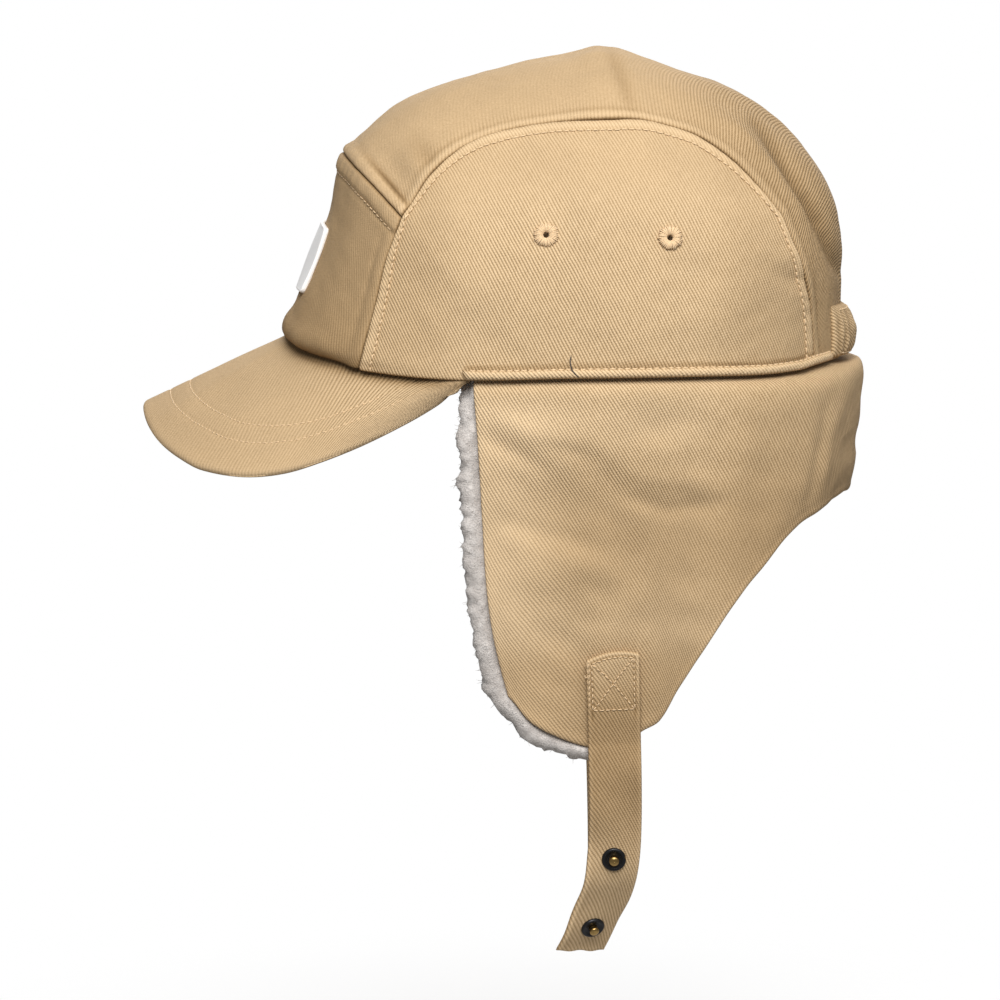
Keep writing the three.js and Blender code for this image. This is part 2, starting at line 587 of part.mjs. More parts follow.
// Turned solid from a closed outline of { radius, height } corners, its axis along +Z.
function turned(corners, segments) {
  const outline = [...corners, corners[0]].map((corner) => new THREE.Vector2(corner.radius, corner.height));
  const geometry = new THREE.LatheGeometry(outline, segments);
  geometry.rotateX(Math.PI / 2);
  return geometry;
}

const ring = (hole, radius, thickness, segments) => turned([
  { radius: hole, height: 0 }, { radius, height: 0 }, { radius, height: thickness * 0.6 },
  { radius: radius - thickness * 0.5, height: thickness }, { radius: hole + thickness * 0.3, height: thickness },
  { radius: hole, height: thickness * 0.7 },
], segments);

// Cloth with round holes cut through it along the given axes.
function pierced(geometry, holes) {
  const toSolid = (source) => {
    const count = source.getAttribute('position').count;
    const faces = source.index ? source.index.array : Array.from({ length: count }, (_, i) => i);
    const mesh = new wasm.Mesh({
      numProp: 3,
      vertProperties: Float32Array.from(source.getAttribute('position').array),
      triVerts: Uint32Array.from(faces),
    });
    mesh.merge();
    return new wasm.Manifold(mesh);
  };
  let solid = toSolid(geometry);
  for (const hole of holes) {
    const drill = new THREE.CylinderGeometry(EYELET_HOLE, EYELET_HOLE, 12, 10);
    drill.rotateX(Math.PI / 2);
    drill.applyQuaternion(new THREE.Quaternion().setFromUnitVectors(vector(0, 0, 1), hole.axis));
    drill.translate(hole.place.x, hole.place.y, hole.place.z);
    drill.deleteAttribute('normal');
    drill.deleteAttribute('uv');
    solid = solid.subtract(toSolid(drill));
  }
  const mesh = solid.getMesh();
  return facingOut(Array.from(mesh.vertProperties), Array.from(mesh.triVerts));
}

const cap = new THREE.Group();

function add(name, geometry, finish, place = vector(0, 0, 0), axis = vector(0, 0, 1)) {
  const mesh = new THREE.Mesh(geometry, new THREE.MeshStandardMaterial(finish));
  mesh.name = name;
  mesh.position.copy(place);
  mesh.quaternion.setFromUnitVectors(vector(0, 0, 1), axis);
  cap.add(mesh);
}

// Crown panels.
const half = SEAM_GAP / 2;
const front = crownPanel(frontPanelSkin(), [0, half, half, half]);
add('front_panel', clothSolid(front.outer, front.inner), TWILL);
const top = crownPanel(topPanelSkin(), [half, 0, half, half]);
add('top_panel', clothSolid(top.outer, top.inner), TWILL);
const side = crownPanel(sidePanelSkin(), [0, half, half, half]);
const eyelets = EYELET_PLACES.map(({ name, y, z }) => {
  const skin = skinBySide(y, z);
  return { name, axis: skinNormal(skin), place: lifted(skin, 0) };
});
const flipX = (p) => vector(-p.x, p.y, p.z);
add('side_panel_left', pierced(clothSolid(side.outer, side.inner), eyelets), TWILL);
const rightEyelets = eyelets.map(({ name, axis, place }) => ({ name, axis: flipX(axis), place: flipX(place) }));
add('side_panel_right', pierced(clothSolid(mirrored(side.outer), mirrored(side.inner)), rightEyelets), TWILL);

// Eyelets, a bound ring of thread on each hole.
for (const [sideName, list] of [['left', eyelets], ['right', rightEyelets]]) {
  for (const { name, axis, place } of list) {
    const seat = place.clone().addScaledVector(axis, SEAT_GAP);
    add(`eyelet_${sideName}_${name}`, ring(EYELET_HOLE, EYELET_OUTER, 1.3, 12), THREAD, seat, axis);
  }
}

// Peak, hem, elastic casing and label.
add('peak', peakSolid(), TWILL);
add('rim_binding_left', bindingSolid(1), TWILL);
add('rim_binding_right', bindingSolid(-1), TWILL);
add('back_band', bandSolid(), TWILL);
add('label', labelSolid(), LABEL_WEAVE);

// Ear and neck flap.
add('flap_shell', flapShell(), TWILL);
add('flap_lining', flapLining(), FLEECE);

// Straps.
function strapStations(rows) {
  const at = { x: curve(rows.slice().reverse(), 'z', 'x'), y: curve(rows.slice().reverse(), 'z', 'y') };
  const twist = curve(rows.slice().reverse(), 'z', 'twist');
  const low = rows[rows.length - 1].z;
  const middle = (z) => {
    const y = at.y(z);
    const seatFor = Math.max(z, -136);
    const { turn, down } = flapAt(y, seatFor);
    const seat = flapLayer(turn, down, -(SEAT_GAP + 0.25));
    const free = THREE.MathUtils.smoothstep(-z, 128, 158);
    return vector(mix(seat.x, at.x(z), free), y, z);
  };
  return Array.from({ length: 19 }, (_, i) => {
    const z = mix(rows[0].z, low, i / 18);
    const spine = middle(z);
    const along = middle(z - 1).sub(middle(z + 1)).normalize();
    const turn = radians(twist(z));
    const free = THREE.MathUtils.smoothstep(-z, 128, 158);
    const y = at.y(z);
    const span = flapAt(y + 6, Math.max(z, -136));
    const back = flapAt(y - 6, Math.max(z, -136));
    const lean = (flapLayer(span.turn, span.down, 0).x - flapLayer(back.turn, back.down, 0).x) / 12;
    const wide = vector(mix(lean, -Math.sin(turn), free), mix(1, Math.cos(turn), free), 0);
    wide.addScaledVector(along, -wide.dot(along)).normalize();
    const face = wide.clone().cross(along).normalize();
    if (face.x < 0) face.negate();
    return { z, spine, along, wide, face };
  });
}

function strapSolid(stations, sign) {
  const layer = (lift) => stations.map(({ spine, wide, face }) => [-1, 0, 1].map((end) => {
    return spine.clone().addScaledVector(wide, (end * STRAP_WIDTH) / 2).addScaledVector(face, lift);
  }));
  const outer = layer(STRAP_CLOTH);
  const inner = layer(0);
  return sign > 0 ? clothSolid(outer, inner) : clothSolid(mirrored(outer), mirrored(inner));
}

function stationAt(stations, z) {
  let i = 0;
  while (i < stations.length - 2 && stations[i + 1].z > z) i += 1;
  const t = (z - stations[i].z) / (stations[i + 1].z - stations[i].z);
  const spine = stations[i].spine.clone().lerp(stations[i + 1].spine, t);
  const along = stations[i + 1].spine.clone().sub(stations[i].spine).normalize();
  const wide = stations[i].wide.clone().lerp(stations[i + 1].wide, t).normalize();
  const face = wide.clone().cross(along).normalize();
  if (face.x < 0) face.negate();
  return { spine, face };
}

const leftStrap = strapStations(STRAP_LEFT);
const rightStrap = strapStations(STRAP_RIGHT);
add('strap_left', strapSolid(leftStrap, 1), TWILL);
add('strap_right', strapSolid(rightStrap, -1), TWILL);

// Snap studs on the left strap, and the plain sockets that take them on the inside of the right strap.
const post = turned([
  { radius: 0, height: 0 }, { radius: SNAP_POST_RADIUS * 0.8, height: 0 },
  { radius: SNAP_POST_RADIUS * 0.8, height: SNAP_POST_HEIGHT * 0.45 },
  { radius: SNAP_POST_RADIUS, height: SNAP_POST_HEIGHT * 0.7 },
  { radius: SNAP_POST_RADIUS * 0.75, height: SNAP_POST_HEIGHT }, { radius: 0, height: SNAP_POST_HEIGHT },
], 12);
const socket = turned([
  { radius: 0, height: 0 }, { radius: SNAP_RADIUS, height: 0 }, { radius: SNAP_RADIUS, height: SOCKET_THICKNESS },
  { radius: SOCKET_HOLE, height: SOCKET_THICKNESS }, { radius: SOCKET_HOLE, height: SOCKET_THICKNESS - SOCKET_DEPTH },
  { radius: 0, height: SOCKET_THICKNESS - SOCKET_DEPTH },
], 16);
for (const [name, z] of Object.entries(SNAP_HEIGHTS)) {
  const stud = stationAt(leftStrap, z);
  const seat = stud.spine.clone().addScaledVector(stud.face, STRAP_CLOTH + SEAT_GAP);
  add(`snap_ring_${name}`, ring(SNAP_RING_HOLE, SNAP_RADIUS, SNAP_RING_THICKNESS, 16), BLACK_PAINT, seat, stud.face);
  add(`snap_post_${name}`, post.clone(), BRASS, seat, stud.face);
  const catching = stationAt(rightStrap, z);
  const inside = flipX(catching.spine.clone().addScaledVector(catching.face, -SEAT_GAP));
  add(`snap_socket_${name}`, socket.clone(), BLACK_PAINT, inside, flipX(catching.face).negate());
}

export default cap;
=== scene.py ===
"""Looks of the earflap cap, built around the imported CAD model.

The cap hangs as a head would hold it. Its cloth pieces are made again at a finer scale from the same
sizes as the CAD, and the stitches, fleece tufts and thread are added.
"""

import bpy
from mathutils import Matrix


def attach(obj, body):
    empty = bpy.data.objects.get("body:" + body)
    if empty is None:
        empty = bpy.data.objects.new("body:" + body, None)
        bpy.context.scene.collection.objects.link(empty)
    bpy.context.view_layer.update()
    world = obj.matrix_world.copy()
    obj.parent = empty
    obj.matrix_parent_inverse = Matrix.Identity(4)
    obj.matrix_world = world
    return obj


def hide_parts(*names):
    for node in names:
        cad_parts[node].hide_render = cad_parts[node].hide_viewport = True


bl_info = {
    "name": "Earflap cap",
    "version": (1, 0, 0),
    "blender": (4, 5, 0),
    "location": "3D View > Sidebar > Earflap cap",
    "description": "Builds a twill earflap cap with a fleece-lined flap and two snap straps",
    "category": "Add Mesh",
}

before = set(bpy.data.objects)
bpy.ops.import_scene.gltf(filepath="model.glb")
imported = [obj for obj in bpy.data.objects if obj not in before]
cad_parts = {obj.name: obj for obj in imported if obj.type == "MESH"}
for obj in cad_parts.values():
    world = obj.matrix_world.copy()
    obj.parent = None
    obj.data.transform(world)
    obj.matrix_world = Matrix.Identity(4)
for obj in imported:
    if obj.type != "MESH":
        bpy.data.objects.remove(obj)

import math

import bpy
import numpy as np
from mathutils import Vector
from mathutils import noise

MM = 0.001

# Crown, in millimetres as in the CAD.
CORE_Y = -3.0
CORE_Z = -6.0
CROWN_HALF_WIDTH = 88.0
CROWN_FULLNESS = 2.45
CROWN_CLOTH = 2.0
SEAT_GAP = 0.35
CREST_SEAM_ANGLE = 46.0
# Length of the rim's plan outline behind and before the core.
RIM_BACK = 105.9
RIM_FRONT = 107.6
# Distance of each row of stitches from its seam or border.
SIDE_ROW = 4.9
CREST_ROW = 6.9
BAND_ROW = 1.9
# Middle line of the crown from the side, front rim first: y, z.
MIDDLE_LINE = (
    (-109.8, 2.0), (-111.2, 8.0), (-111.8, 12.4), (-108.0, 20.1), (-104.4, 27.9), (-99.6, 40.0),
    (-95.6, 50.2), (-92.8, 59.0), (-90.8, 68.0), (-86.8, 80.9), (-81.0, 87.6), (-73.3, 94.4),
    (-65.6, 99.8), (-50.2, 106.7), (-34.9, 111.3), (-19.5, 115.0), (-4.2, 117.9), (11.1, 120.6),
    (26.5, 117.3), (41.8, 112.4), (57.2, 106.6), (72.6, 98.0), (80.3, 91.4), (88.1, 83.4),
    (95.9, 72.8), (99.8, 65.0), (103.0, 51.0), (103.4, 35.6), (103.1, 24.0), (102.9, 3.0),
)
# Height of the crown's lower edge from front to back: y, z.
RIM = (
    (-111.5, 12.5), (-110.6, 12.0), (-109.2, 10.0), (-104, 7.2), (-88, 4.0), (-73, 1.3), (-38, -0.7),
    (-2, 0.0), (46, 0.4), (69, 0.4), (83, 1.2), (90, 2.7), (97, 3.6), (106, 3.6),
)
# Seams of a side panel from the side: y, z.
FRONT_SEAM = ((-79.6, 2.4), (-72.8, 27.7), (-69.0, 42.3), (-63.3, 58.1))
ARCH_SEAM = (
    (-63.3, 58.1), (-54.8, 71.2), (-46.0, 80.2), (-36.0, 86.4), (-22.0, 90.6), (-3.0, 93.2),
    (16.9, 93.9), (31.7, 92.4), (46.4, 87.6), (61.4, 76.6), (76.6, 58.5),
)
REAR_SEAM = ((76.6, 58.5), (83.8, 41.6), (88.4, 24.0), (90.5, 2.8))
# Soft folds along a line of the side view: y0, z0, y1, z1, half width, height.
CROWN_FOLDS = (
    (11, 124, 25, 92, 7, 1.4), (-72, 80, -60, 66, 6, -1.6), (62, 92, 93, 48, 5, 1.3),
    (76, 84, 97, 40, 4, -1.2),
)
SIDE_FOLDS = (
    (76, 36, 88, 33, 3.0, -0.6), (70, 44, 86, 41, 4, 0.8), (12, 118, 20, 98, 3, -0.8),
    (-58, 20, -30, 34, 9, 0.5), (40, 20, 66, 34, 8, 0.5),
)
TOP_FOLDS = (
    (68, 92, 92, 56, 2.8, -2.2), (88, 64, 101, 36, 2.4, -2.0), (58, 92, 84, 60, 2.8, 1.3),
    (80, 92, 99, 58, 4.0, 1.0), (48, 98, 66, 84, 3.4, 0.8), (13, 121, 22, 96, 2.6, -1.0),
    (-58, 84, -50, 76, 4, -1.0),
)

# Twill weave: lean of its ribs from the warp in degrees, and length of a yarn float.
TWILL_LEAN = 28.0
FLOAT_LENGTH = 0.95
TWILL_DEPTH = 0.42

# Ear and neck flap. Lower edge: turn about the core, y, z, x.
FLAP_CLOTH = 2.0
FLAP_INSET = 2.6
FLAP_TUCK = 5.0
FLAP_FRONT = -22.2
FLEECE_FRONT = -26.4
FLEECE_THICKNESS = 7.0
PEAK_CLEARANCE = 2.6
FLAP_EDGE = (
    (-27, -33.5, -112.5, 79), (-22.2, -24.2, -118.6, 78), (-17.4, -16.1, -128.1, 77),
    (-11, -5.0, -134.3, 76), (-4.5, 6.2, -138.2, 75.5), (3.2, 16.5, -139.6, 75.5),
    (11.1, 25.5, -132.2, 75.5), (16.1, 32.2, -128.0, 76), (23.5, 38.7, -116.3, 76.5),
    (30.2, 45.8, -105.0, 77), (39.3, 60.7, -82.6, 77), (47, 72.7, -68.3, 72), (54, 82.3, -57.9, 65),
    (62.8, 92.7, -51.9, 52), (74.1, 103.0, -48.4, 29), (90, 107.0, -49.0, 0),
    (105.9, 103.0, -48.4, -29),
)
# Turn, swell past the rim, fleece seen below the cloth.
FLAP_SWELL = (
    (-27, 3.2, 2.5), (-22, 3.4, 8), (-12, 4.0, 6), (8, 4.4, 2), (25, 4.8, 0.5), (45, 6.0, 0),
    (65, 9.0, 0), (90, 10.4, 0), (115, 9.0, 0),
)
FLAP_FOLDS = (
    (-30, -34, 22, -62, 9, -1.8), (-10, -22, 40, -30, 10, 1.2), (90, -16, 76, -62, 7, 2.2),
    (76, -12, 62, -60, 8, -1.6), (98, -24, 106, -34, 6, -1.5),
)
FLAP_DENTS = (
    (-33, -21, -12, -32, 3.5, -1.0), (-30, -13, -6, -25, 4.5, 0.8), (-12, -24, 7, -29, 3.2, -0.8),
    (17, -43, 35, -48.5, 3.2, -0.9), (33, -48.5, 55, -46, 3.2, -0.7), (16, -35, 52, -39, 4.5, 0.8),
    (-23, -53, 6, -62, 4, -0.8), (-20, -62, 10, -72, 6, 0.8), (8, -36, 20, -42, 7, -0.8),
    (40, -24, 52, -28, 7, -0.7), (-14, -80, 2, -104, 6, -0.8), (30, -70, 12, -98, 6, 0.8),
    (89, -8, 85.5, -46, 2.4, -0.9), (92.5, -8, 90, -44, 2.8, 0.5), (98, -8, 99, -30, 4.0, -0.7),
    (90, -16, 76, -62, 7, -1.9), (76, -12, 62, -60, 8, 0.9), (40, -16, 20, -22, 6, -0.6),
    (-30, -34, 22, -62, 9, 0.8), (109, 0, 109, -24, 9, -1.8),
)

# Peak, its outer edge: along, x, y, z.
PEAK_CLOTH = 3.6
PEAK_END_TURN = 67.4
PEAK_EDGE = (
    (0, 0, -165.7, -15.4), (12, 25, -162.0, -21.0), (21.5, 43, -155.1, -27.0), (29, 57, -146.5, -31.4),
    (35.5, 66, -138.4, -34.3), (44.5, 77, -122.8, -35.8), (53, 83, -107.8, -34.1), (61, 86, -92.9, -29.4),
    (69, 87, -78.3, -23.5), (78, 86.5, -63.7, -16.4), (87, 85.5, -49.1, -8.2), (91, 84.5, -43.6, -4.6),
)
PEAK_STITCH_ROWS = (12.2, 20.6)

# Trim.
BINDING_HEIGHT = 3.4
BINDING_CLOTH = 1.3
BINDING_FRONT_Y = -41.0
BINDING_JOIN = (61.5, 74.5)
BAND_HALF_WIDTH = 40.0
BAND_LOW = 4.2
BAND_HIGH = 24.0
BAND_SWELL = 5.7
LABEL_WIDTH = 62.0
LABEL_LOW = 27.5
LABEL_HIGH = 58.0
LABEL_CLOTH = 1.0
LABEL_CORNER = 2.0
EYELET_HOLE = 0.9
EYELET_CUT = 1.7
EYELET_STITCHES = 38
EYELET_PLACES = (("front", -10.4, 52.0), ("rear", 34.8, 50.9))

# Dark thread end on the binding: y, z, height over the crown.
DARK_END = (
    (-1.2, 8.6, 0.5), (-1.7, 7.0, 1.2), (-1.6, 4.9, 1.9), (-1.0, 3.2, 2.3), (0.2, 1.8, 2.4), (1.3, 0.7, 2.2),
)

# Straps, middle line from the top: z, y, x, twist.
STRAP_WIDTH = 19.6
STRAP_CLOTH = 1.8
# The strap is sewn on over its first part, with rows set in from its borders.
STRAP_SEWN = 22.0
STRAP_ROW = 2.0
STRAP_LEFT = (
    (-101, 14.2, 79, 0), (-125, 14.9, 78, 0), (-142, 15.3, 78, 0), (-165, 15.6, 75.5, 2),
    (-179, 15.0, 72.6, 6), (-193, 12.6, 67.5, 12), (-206, 7.6, 61.0, 19), (-218.8, 2.7, 53.5, 23),
)
STRAP_RIGHT = (
    (-101, 14.2, 79, 0), (-125, 15.4, 78.4, 0), (-142, 16.6, 78, 0), (-165, 17.9, 77.4, 0),
    (-192, 18.6, 76.6, 1), (-217, 18.8, 75.6, 2),
)
SNAP_HEIGHTS = (("upper", -179.5), ("lower", -207.5))
# Outlines of the snaps' turned parts: radius, height over the strap.
SNAP_RING = ((1.5, -0.6), (4.4, -0.6), (4.6, 0.35), (4.15, 1.0), (3.5, 0.95), (2.5, 0.35), (1.6, 0.3))
SNAP_POST = (
    (0.0001, -0.4), (1.55, -0.4), (1.45, 1.2), (1.9, 2.0), (1.75, 2.7), (1.1, 3.1), (0.0001, 3.2),
)
SNAP_SOCKET = (
    (0.0001, -0.4), (4.6, -0.4), (4.5, 1.7), (4.0, 2.5), (2.5, 2.6), (2.2, 2.2), (2.2, 0.8), (0.0001, 0.8),
)
SNAP_ROUNDING = 0.3

# Camera, from the photograph's perspective.
VIEW_HEIGHT_ANGLE = 6.0
VIEW_DISTANCE = 1500.0
VIEW_WIDTH = 388.0
VIEW_MIDDLE = (0.0, -27.2, -53.6)
SENSOR = 36.0
FLOOR_HEIGHT = -300.0
FLOOR_CLEAR = 100.0
FLOOR_REACH = 480.0
SKY_LIGHT = 0.2
# A wide soft key above the camera, a weaker lamp to the rear, and one behind the cap: place and width in
# metres, watts.
LAMPS = (
    ("key", (1.25, 0.0, 0.95), 1.0, 28.0),
    ("rear", (1.0, 0.8, 1.0), 1.0, 6.0),
    ("behind", (-1.4, 0.1, 0.6), 1.4, 20.0),
)


# Curves and grids.
def smooth(places, values):
    """Smooth curve through a table, as a function of the place."""
    places = np.asarray(places, float)
    values = np.asarray(values, float)
    last = len(places) - 1
    before = np.maximum(np.arange(last + 1) - 1, 0)
    after = np.minimum(np.arange(last + 1) + 1, last)
    slopes = (values[after] - values[before]) / (places[after] - places[before])

    def at(place):
        place = np.asarray(place, float)
        i = np.clip(np.searchsorted(places, place, side="left") - 1, 0, last - 1)
        width = places[i + 1] - places[i]
        t = np.clip((place - places[i]) / width, 0, 1)
        rise = values[i] * (2 * t**3 - 3 * t**2 + 1) + values[i + 1] * (3 * t**2 - 2 * t**3)
        return rise + width * (slopes[i] * (t**3 - 2 * t**2 + t) + slopes[i + 1] * (t**3 - t**2))

    return at


def columns_of(table):
    return np.array(table, float).T


def unit(vectors):
    return vectors / np.maximum(np.linalg.norm(vectors, axis=-1, keepdims=True), 1e-9)


def mix(a, b, t):
    return a + (b - a) * t


def step(low, high, value):
    """Smooth step from 0 at low to 1 at high."""
    t = np.clip((value - low) / (high - low), 0, 1)
    return t * t * (3 - 2 * t)


def bump(distance, middle, reach):
    return np.exp(-(((distance - middle) / reach) ** 2))


def rounded(distance, radius):
    """0 at a border and 1 a radius away from it, along a quarter circle."""
    near = np.clip(1 - distance / radius, 0, 1)
    return np.sqrt(1 - near**2)


def fall(distance, radius):
    """1 at a border and 0 a radius away from it."""
    return 1 - rounded(distance, radius)


def nearest(*distances):
    return np.min(distances, axis=0)


def puckers(run, length, sway, drift):
    """Waves along a seam whose length varies."""
    return np.sin(run * 2 * math.pi / length + sway * np.sin(run * drift))


def shares(length, spacing, fine=(0.18, 0.45, 0.8, 1.3, 2.0)):
    """Shares from 0 to 1 along a length, closer together near both borders."""
    fine = np.array(fine)
    inside = max(int((length - 2 * fine[-1]) / spacing), 4)
    middle = np.linspace(fine[-1], length - fine[-1], inside + 1)
    return np.concatenate([[0], fine[:-1], middle, length - fine[:-1][::-1], [length]]) / length


def side_line(rows):
    """A side-view line as a function of the share of its length."""
    y, z = columns_of(rows)
    lengths = np.concatenate([[0], np.cumsum(np.hypot(np.diff(y), np.diff(z)))])
    y_at = smooth(lengths, y)
    z_at = smooth(lengths, z)
    return lambda share: (y_at(lengths[-1] * share), z_at(lengths[-1] * share))


def lengths_along(points, axis):
    """Length along a grid's rows or columns, from its first line."""
    steps = np.linalg.norm(np.diff(points, axis=axis), axis=-1)
    total = np.cumsum(steps, axis=axis)
    start = np.zeros_like(np.take(total, [0], axis=axis))
    return np.concatenate([start, total], axis=axis)


def from_middle(points):
    """Length along a grid's rows, from their middle."""
    lengths = lengths_along(points, 1)
    return lengths - 0.5 * lengths[:, -1:]


def weave(across, up, degrees):
    """Places on flat cloth whose warp is turned by some degrees."""
    turn = math.radians(degrees)
    first = across * math.cos(turn) + up * math.sin(turn)
    return np.stack([first, up * math.cos(turn) - across * math.sin(turn)], axis=-1)


def border_distances(points):
    """Distances of a grid's points from its first row, last row, first column and last column."""
    down = lengths_along(points, 0)
    side = lengths_along(points, 1)
    return down, down[-1:] - down, side, side[:, -1:] - side


def grid_normals(points, outward_hint):
    normal = unit(np.cross(np.gradient(points, axis=1), np.gradient(points, axis=0)))
    wrong = np.sum(normal * outward_hint, axis=-1, keepdims=True) < 0
    return np.where(wrong, -normal, normal)


def ripple(points, wavelength, seed, waves=14):
    """Seeded sum of waves through space, from about -1 to 1."""
    random = np.random.default_rng(seed)
    total = np.zeros(points.shape[:-1])
    for _ in range(waves):
        direction = unit(random.normal(size=3))
        size = wavelength * random.uniform(0.7, 1.6)
        total += np.sin(points @ direction * (2 * math.pi / size) + random.uniform(0, 2 * math.pi))
    return total / math.sqrt(waves / 2)


def fold_height(folds, y, z):
    height = np.zeros(np.shape(y))
    for y0, z0, y1, z1, reach, rise in folds:
        along_y = y1 - y0
        along_z = z1 - z0
        t = ((y - y0) * along_y + (z - z0) * along_z) / (along_y**2 + along_z**2)
        t = np.clip(t, 0, 1)
        away = np.hypot(y - y0 - along_y * t, z - z0 - along_z * t) / reach
        height += rise * np.sin(math.pi * mix(0.15, 0.85, t)) * np.exp(-(away**2))
    return height


# Crown skin.
def side_angle(y, z):
    return np.degrees(np.arctan2(z - CORE_Z, CORE_Y - y))


middle_y, middle_z = columns_of(MIDDLE_LINE)
reach_at = smooth(side_angle(middle_y, middle_z), np.hypot(middle_z - CORE_Z, CORE_Y - middle_y))
rim_height = smooth(*columns_of(RIM))


def rest(part):
    return np.maximum(1 - np.abs(part) ** CROWN_FULLNESS, 0) ** (1 / CROWN_FULLNESS)


def crown_at(share, angle):
    reach = reach_at(angle) * rest(share)
    turn = np.radians(angle)
    return np.stack(
        [CROWN_HALF_WIDTH * share, CORE_Y - reach * np.cos(turn), CORE_Z + reach * np.sin(turn)], axis=-1
    )


def crown_by_side(y, z):
    part = np.hypot(y - CORE_Y, z - CORE_Z) / reach_at(side_angle(y, z))
    return np.stack([CROWN_HALF_WIDTH * rest(np.minimum(part, 1)), y, z], axis=-1)


def crown_level(p):
    y = p[..., 1]
    z = p[..., 2]
    part = np.hypot(y - CORE_Y, z - CORE_Z) / reach_at(side_angle(y, z))
    return np.abs(p[..., 0] / CROWN_HALF_WIDTH) ** CROWN_FULLNESS + part**CROWN_FULLNESS


def crown_normal(p):
    slopes = [crown_level(p + offset) - crown_level(p - offset) for offset in np.eye(3) * 0.2]
    return unit(np.stack(slopes, axis=-1))


def crown_lift(p, lift):
    height = lift + fold_height(CROWN_FOLDS, p[..., 1], p[..., 2])
    return p + crown_normal(p) * height[..., None]


def crown_layers(skin, lift):
    """Outer and inner face of the crown's cloth."""
    return crown_lift(skin, lift), crown_lift(skin, np.minimum(lift * 0.5, 0) - CROWN_CLOTH)


front_line = side_line(FRONT_SEAM)
arch_line = side_line(ARCH_SEAM)
rear_line = side_line(REAR_SEAM)


def share_and_angle(y, z):
    return np.stack([crown_by_side(y, z)[..., 0] / CROWN_HALF_WIDTH, side_angle(y, z)], axis=-1)


def coons(bottom, top, left, right, u, v):
    """Blend of four border lines into a grid, at the shares u across and v up."""
    u = u[None, :, None]
    v = v[:, None, None]
    corners = mix(mix(bottom[0], bottom[-1], u), mix(top[0], top[-1], u), v)
    return mix(bottom[None], top[None], v) + mix(left[:, None], right[:, None], u) - corners


def rim_angle(share, back):
    angle = np.full(np.shape(share), 176.0 if back else 6.0)
    for _ in range(20):
        y = crown_at(share, angle)[..., 1]
        angle = side_angle(y, rim_height(y))
    return angle


def side_panel_skin(u, v):
    foot = np.array(front_line(0.0))
    heel = np.array(rear_line(1.0))
    y = mix(foot[0], heel[0], u)
    miss = mix(foot[1] - rim_height(foot[0]), heel[1] - rim_height(heel[0]), u)
    bottom = np.stack([y, rim_height(y) + miss], axis=-1)
    top = np.stack(arch_line(u), axis=-1)
    left = np.stack(front_line(v), axis=-1)
    right = np.stack(rear_line(1 - v), axis=-1)
    grid = coons(bottom, top, left, right, u, v)
    return crown_by_side(grid[..., 0], grid[..., 1])


def cross_seam(u):
    join = share_and_angle(*arch_line(0.0))
    t = 2 * u - 1
    return np.stack([join[0] * t, mix(CREST_SEAM_ANGLE, join[1], t * t)], axis=-1)


def rim_across(place, back, u):
    share, angle = share_and_angle(*place)
    t = 2 * u - 1
    miss = angle - rim_angle(share, back)
    return np.stack([share * t, rim_angle(share * t, back) + miss * t * t], axis=-1)


def mirrored_pair(right):
    return right * np.array([-1, 1]), right


def front_panel_skin(u, v):
    left, right = mirrored_pair(share_and_angle(*front_line(v)))
    grid = coons(rim_across(front_line(0.0), False, u), cross_seam(u), left, right, u, v)
    return crown_at(grid[..., 0], grid[..., 1])


def top_panel_skin(u, v):
    # The side border is the arch seam for its first 14 parts in 22, then the rear seam.
    arch = np.clip(v * 22 / 14, 0, 1)
    rear = np.clip((v * 22 - 14) / 8, 0, 1)
    on_arch = v * 22 <= 14
    arch_y, arch_z = arch_line(arch)
    rear_y, rear_z = rear_line(rear)
    border = share_and_angle(np.where(on_arch, arch_y, rear_y), np.where(on_arch, arch_z, rear_z))
    left, right = mirrored_pair(border)
    grid = coons(cross_seam(u), rim_across(rear_line(1.0), True, u), left, right, u, v)
    return crown_at(grid[..., 0], grid[..., 1])


# Flap.
edge_turn, edge_y, edge_z, edge_x = columns_of(FLAP_EDGE)
flap_edge_x = smooth(edge_turn, edge_x)
flap_edge_y = smooth(edge_turn, edge_y)
flap_edge_z = smooth(edge_turn, edge_z)
swell_turn, swell_size, swell_fleece = columns_of(FLAP_SWELL)
flap_swell = smooth(swell_turn, swell_size)
fleece_below = smooth(swell_turn, swell_fleece)


def rim_plan(turn, inset):
    """Plan outline of the crown at the rim by the turn about the core, 0 at the left, 90 at the back."""
    side = np.cos(np.radians(turn))
    back = np.sin(np.radians(turn))
    length = np.where(back > 0, RIM_BACK, RIM_FRONT)
    level = np.abs(side / CROWN_HALF_WIDTH) ** CROWN_FULLNESS + np.abs(back / length) ** CROWN_FULLNESS
    reach = level ** (-1 / CROWN_FULLNESS) - inset
    return np.stack([reach * side, CORE_Y + reach * back, np.zeros(np.shape(turn))], axis=-1)


def outward(turn):
    ahead = rim_plan(turn + 0.5, 0) - rim_plan(turn - 0.5, 0)
    return unit(np.stack([ahead[..., 1], -ahead[..., 0], np.zeros(np.shape(turn))], axis=-1))


def near_turn(turn):
    """Turn of the same place on the left half."""
    return np.where(turn > 90, 180 - turn, turn)


def flipped(points, far):
    """Mirrors the points that lie on the right half."""
    points[..., 0] = np.where(far, -points[..., 0], points[..., 0])
    return points


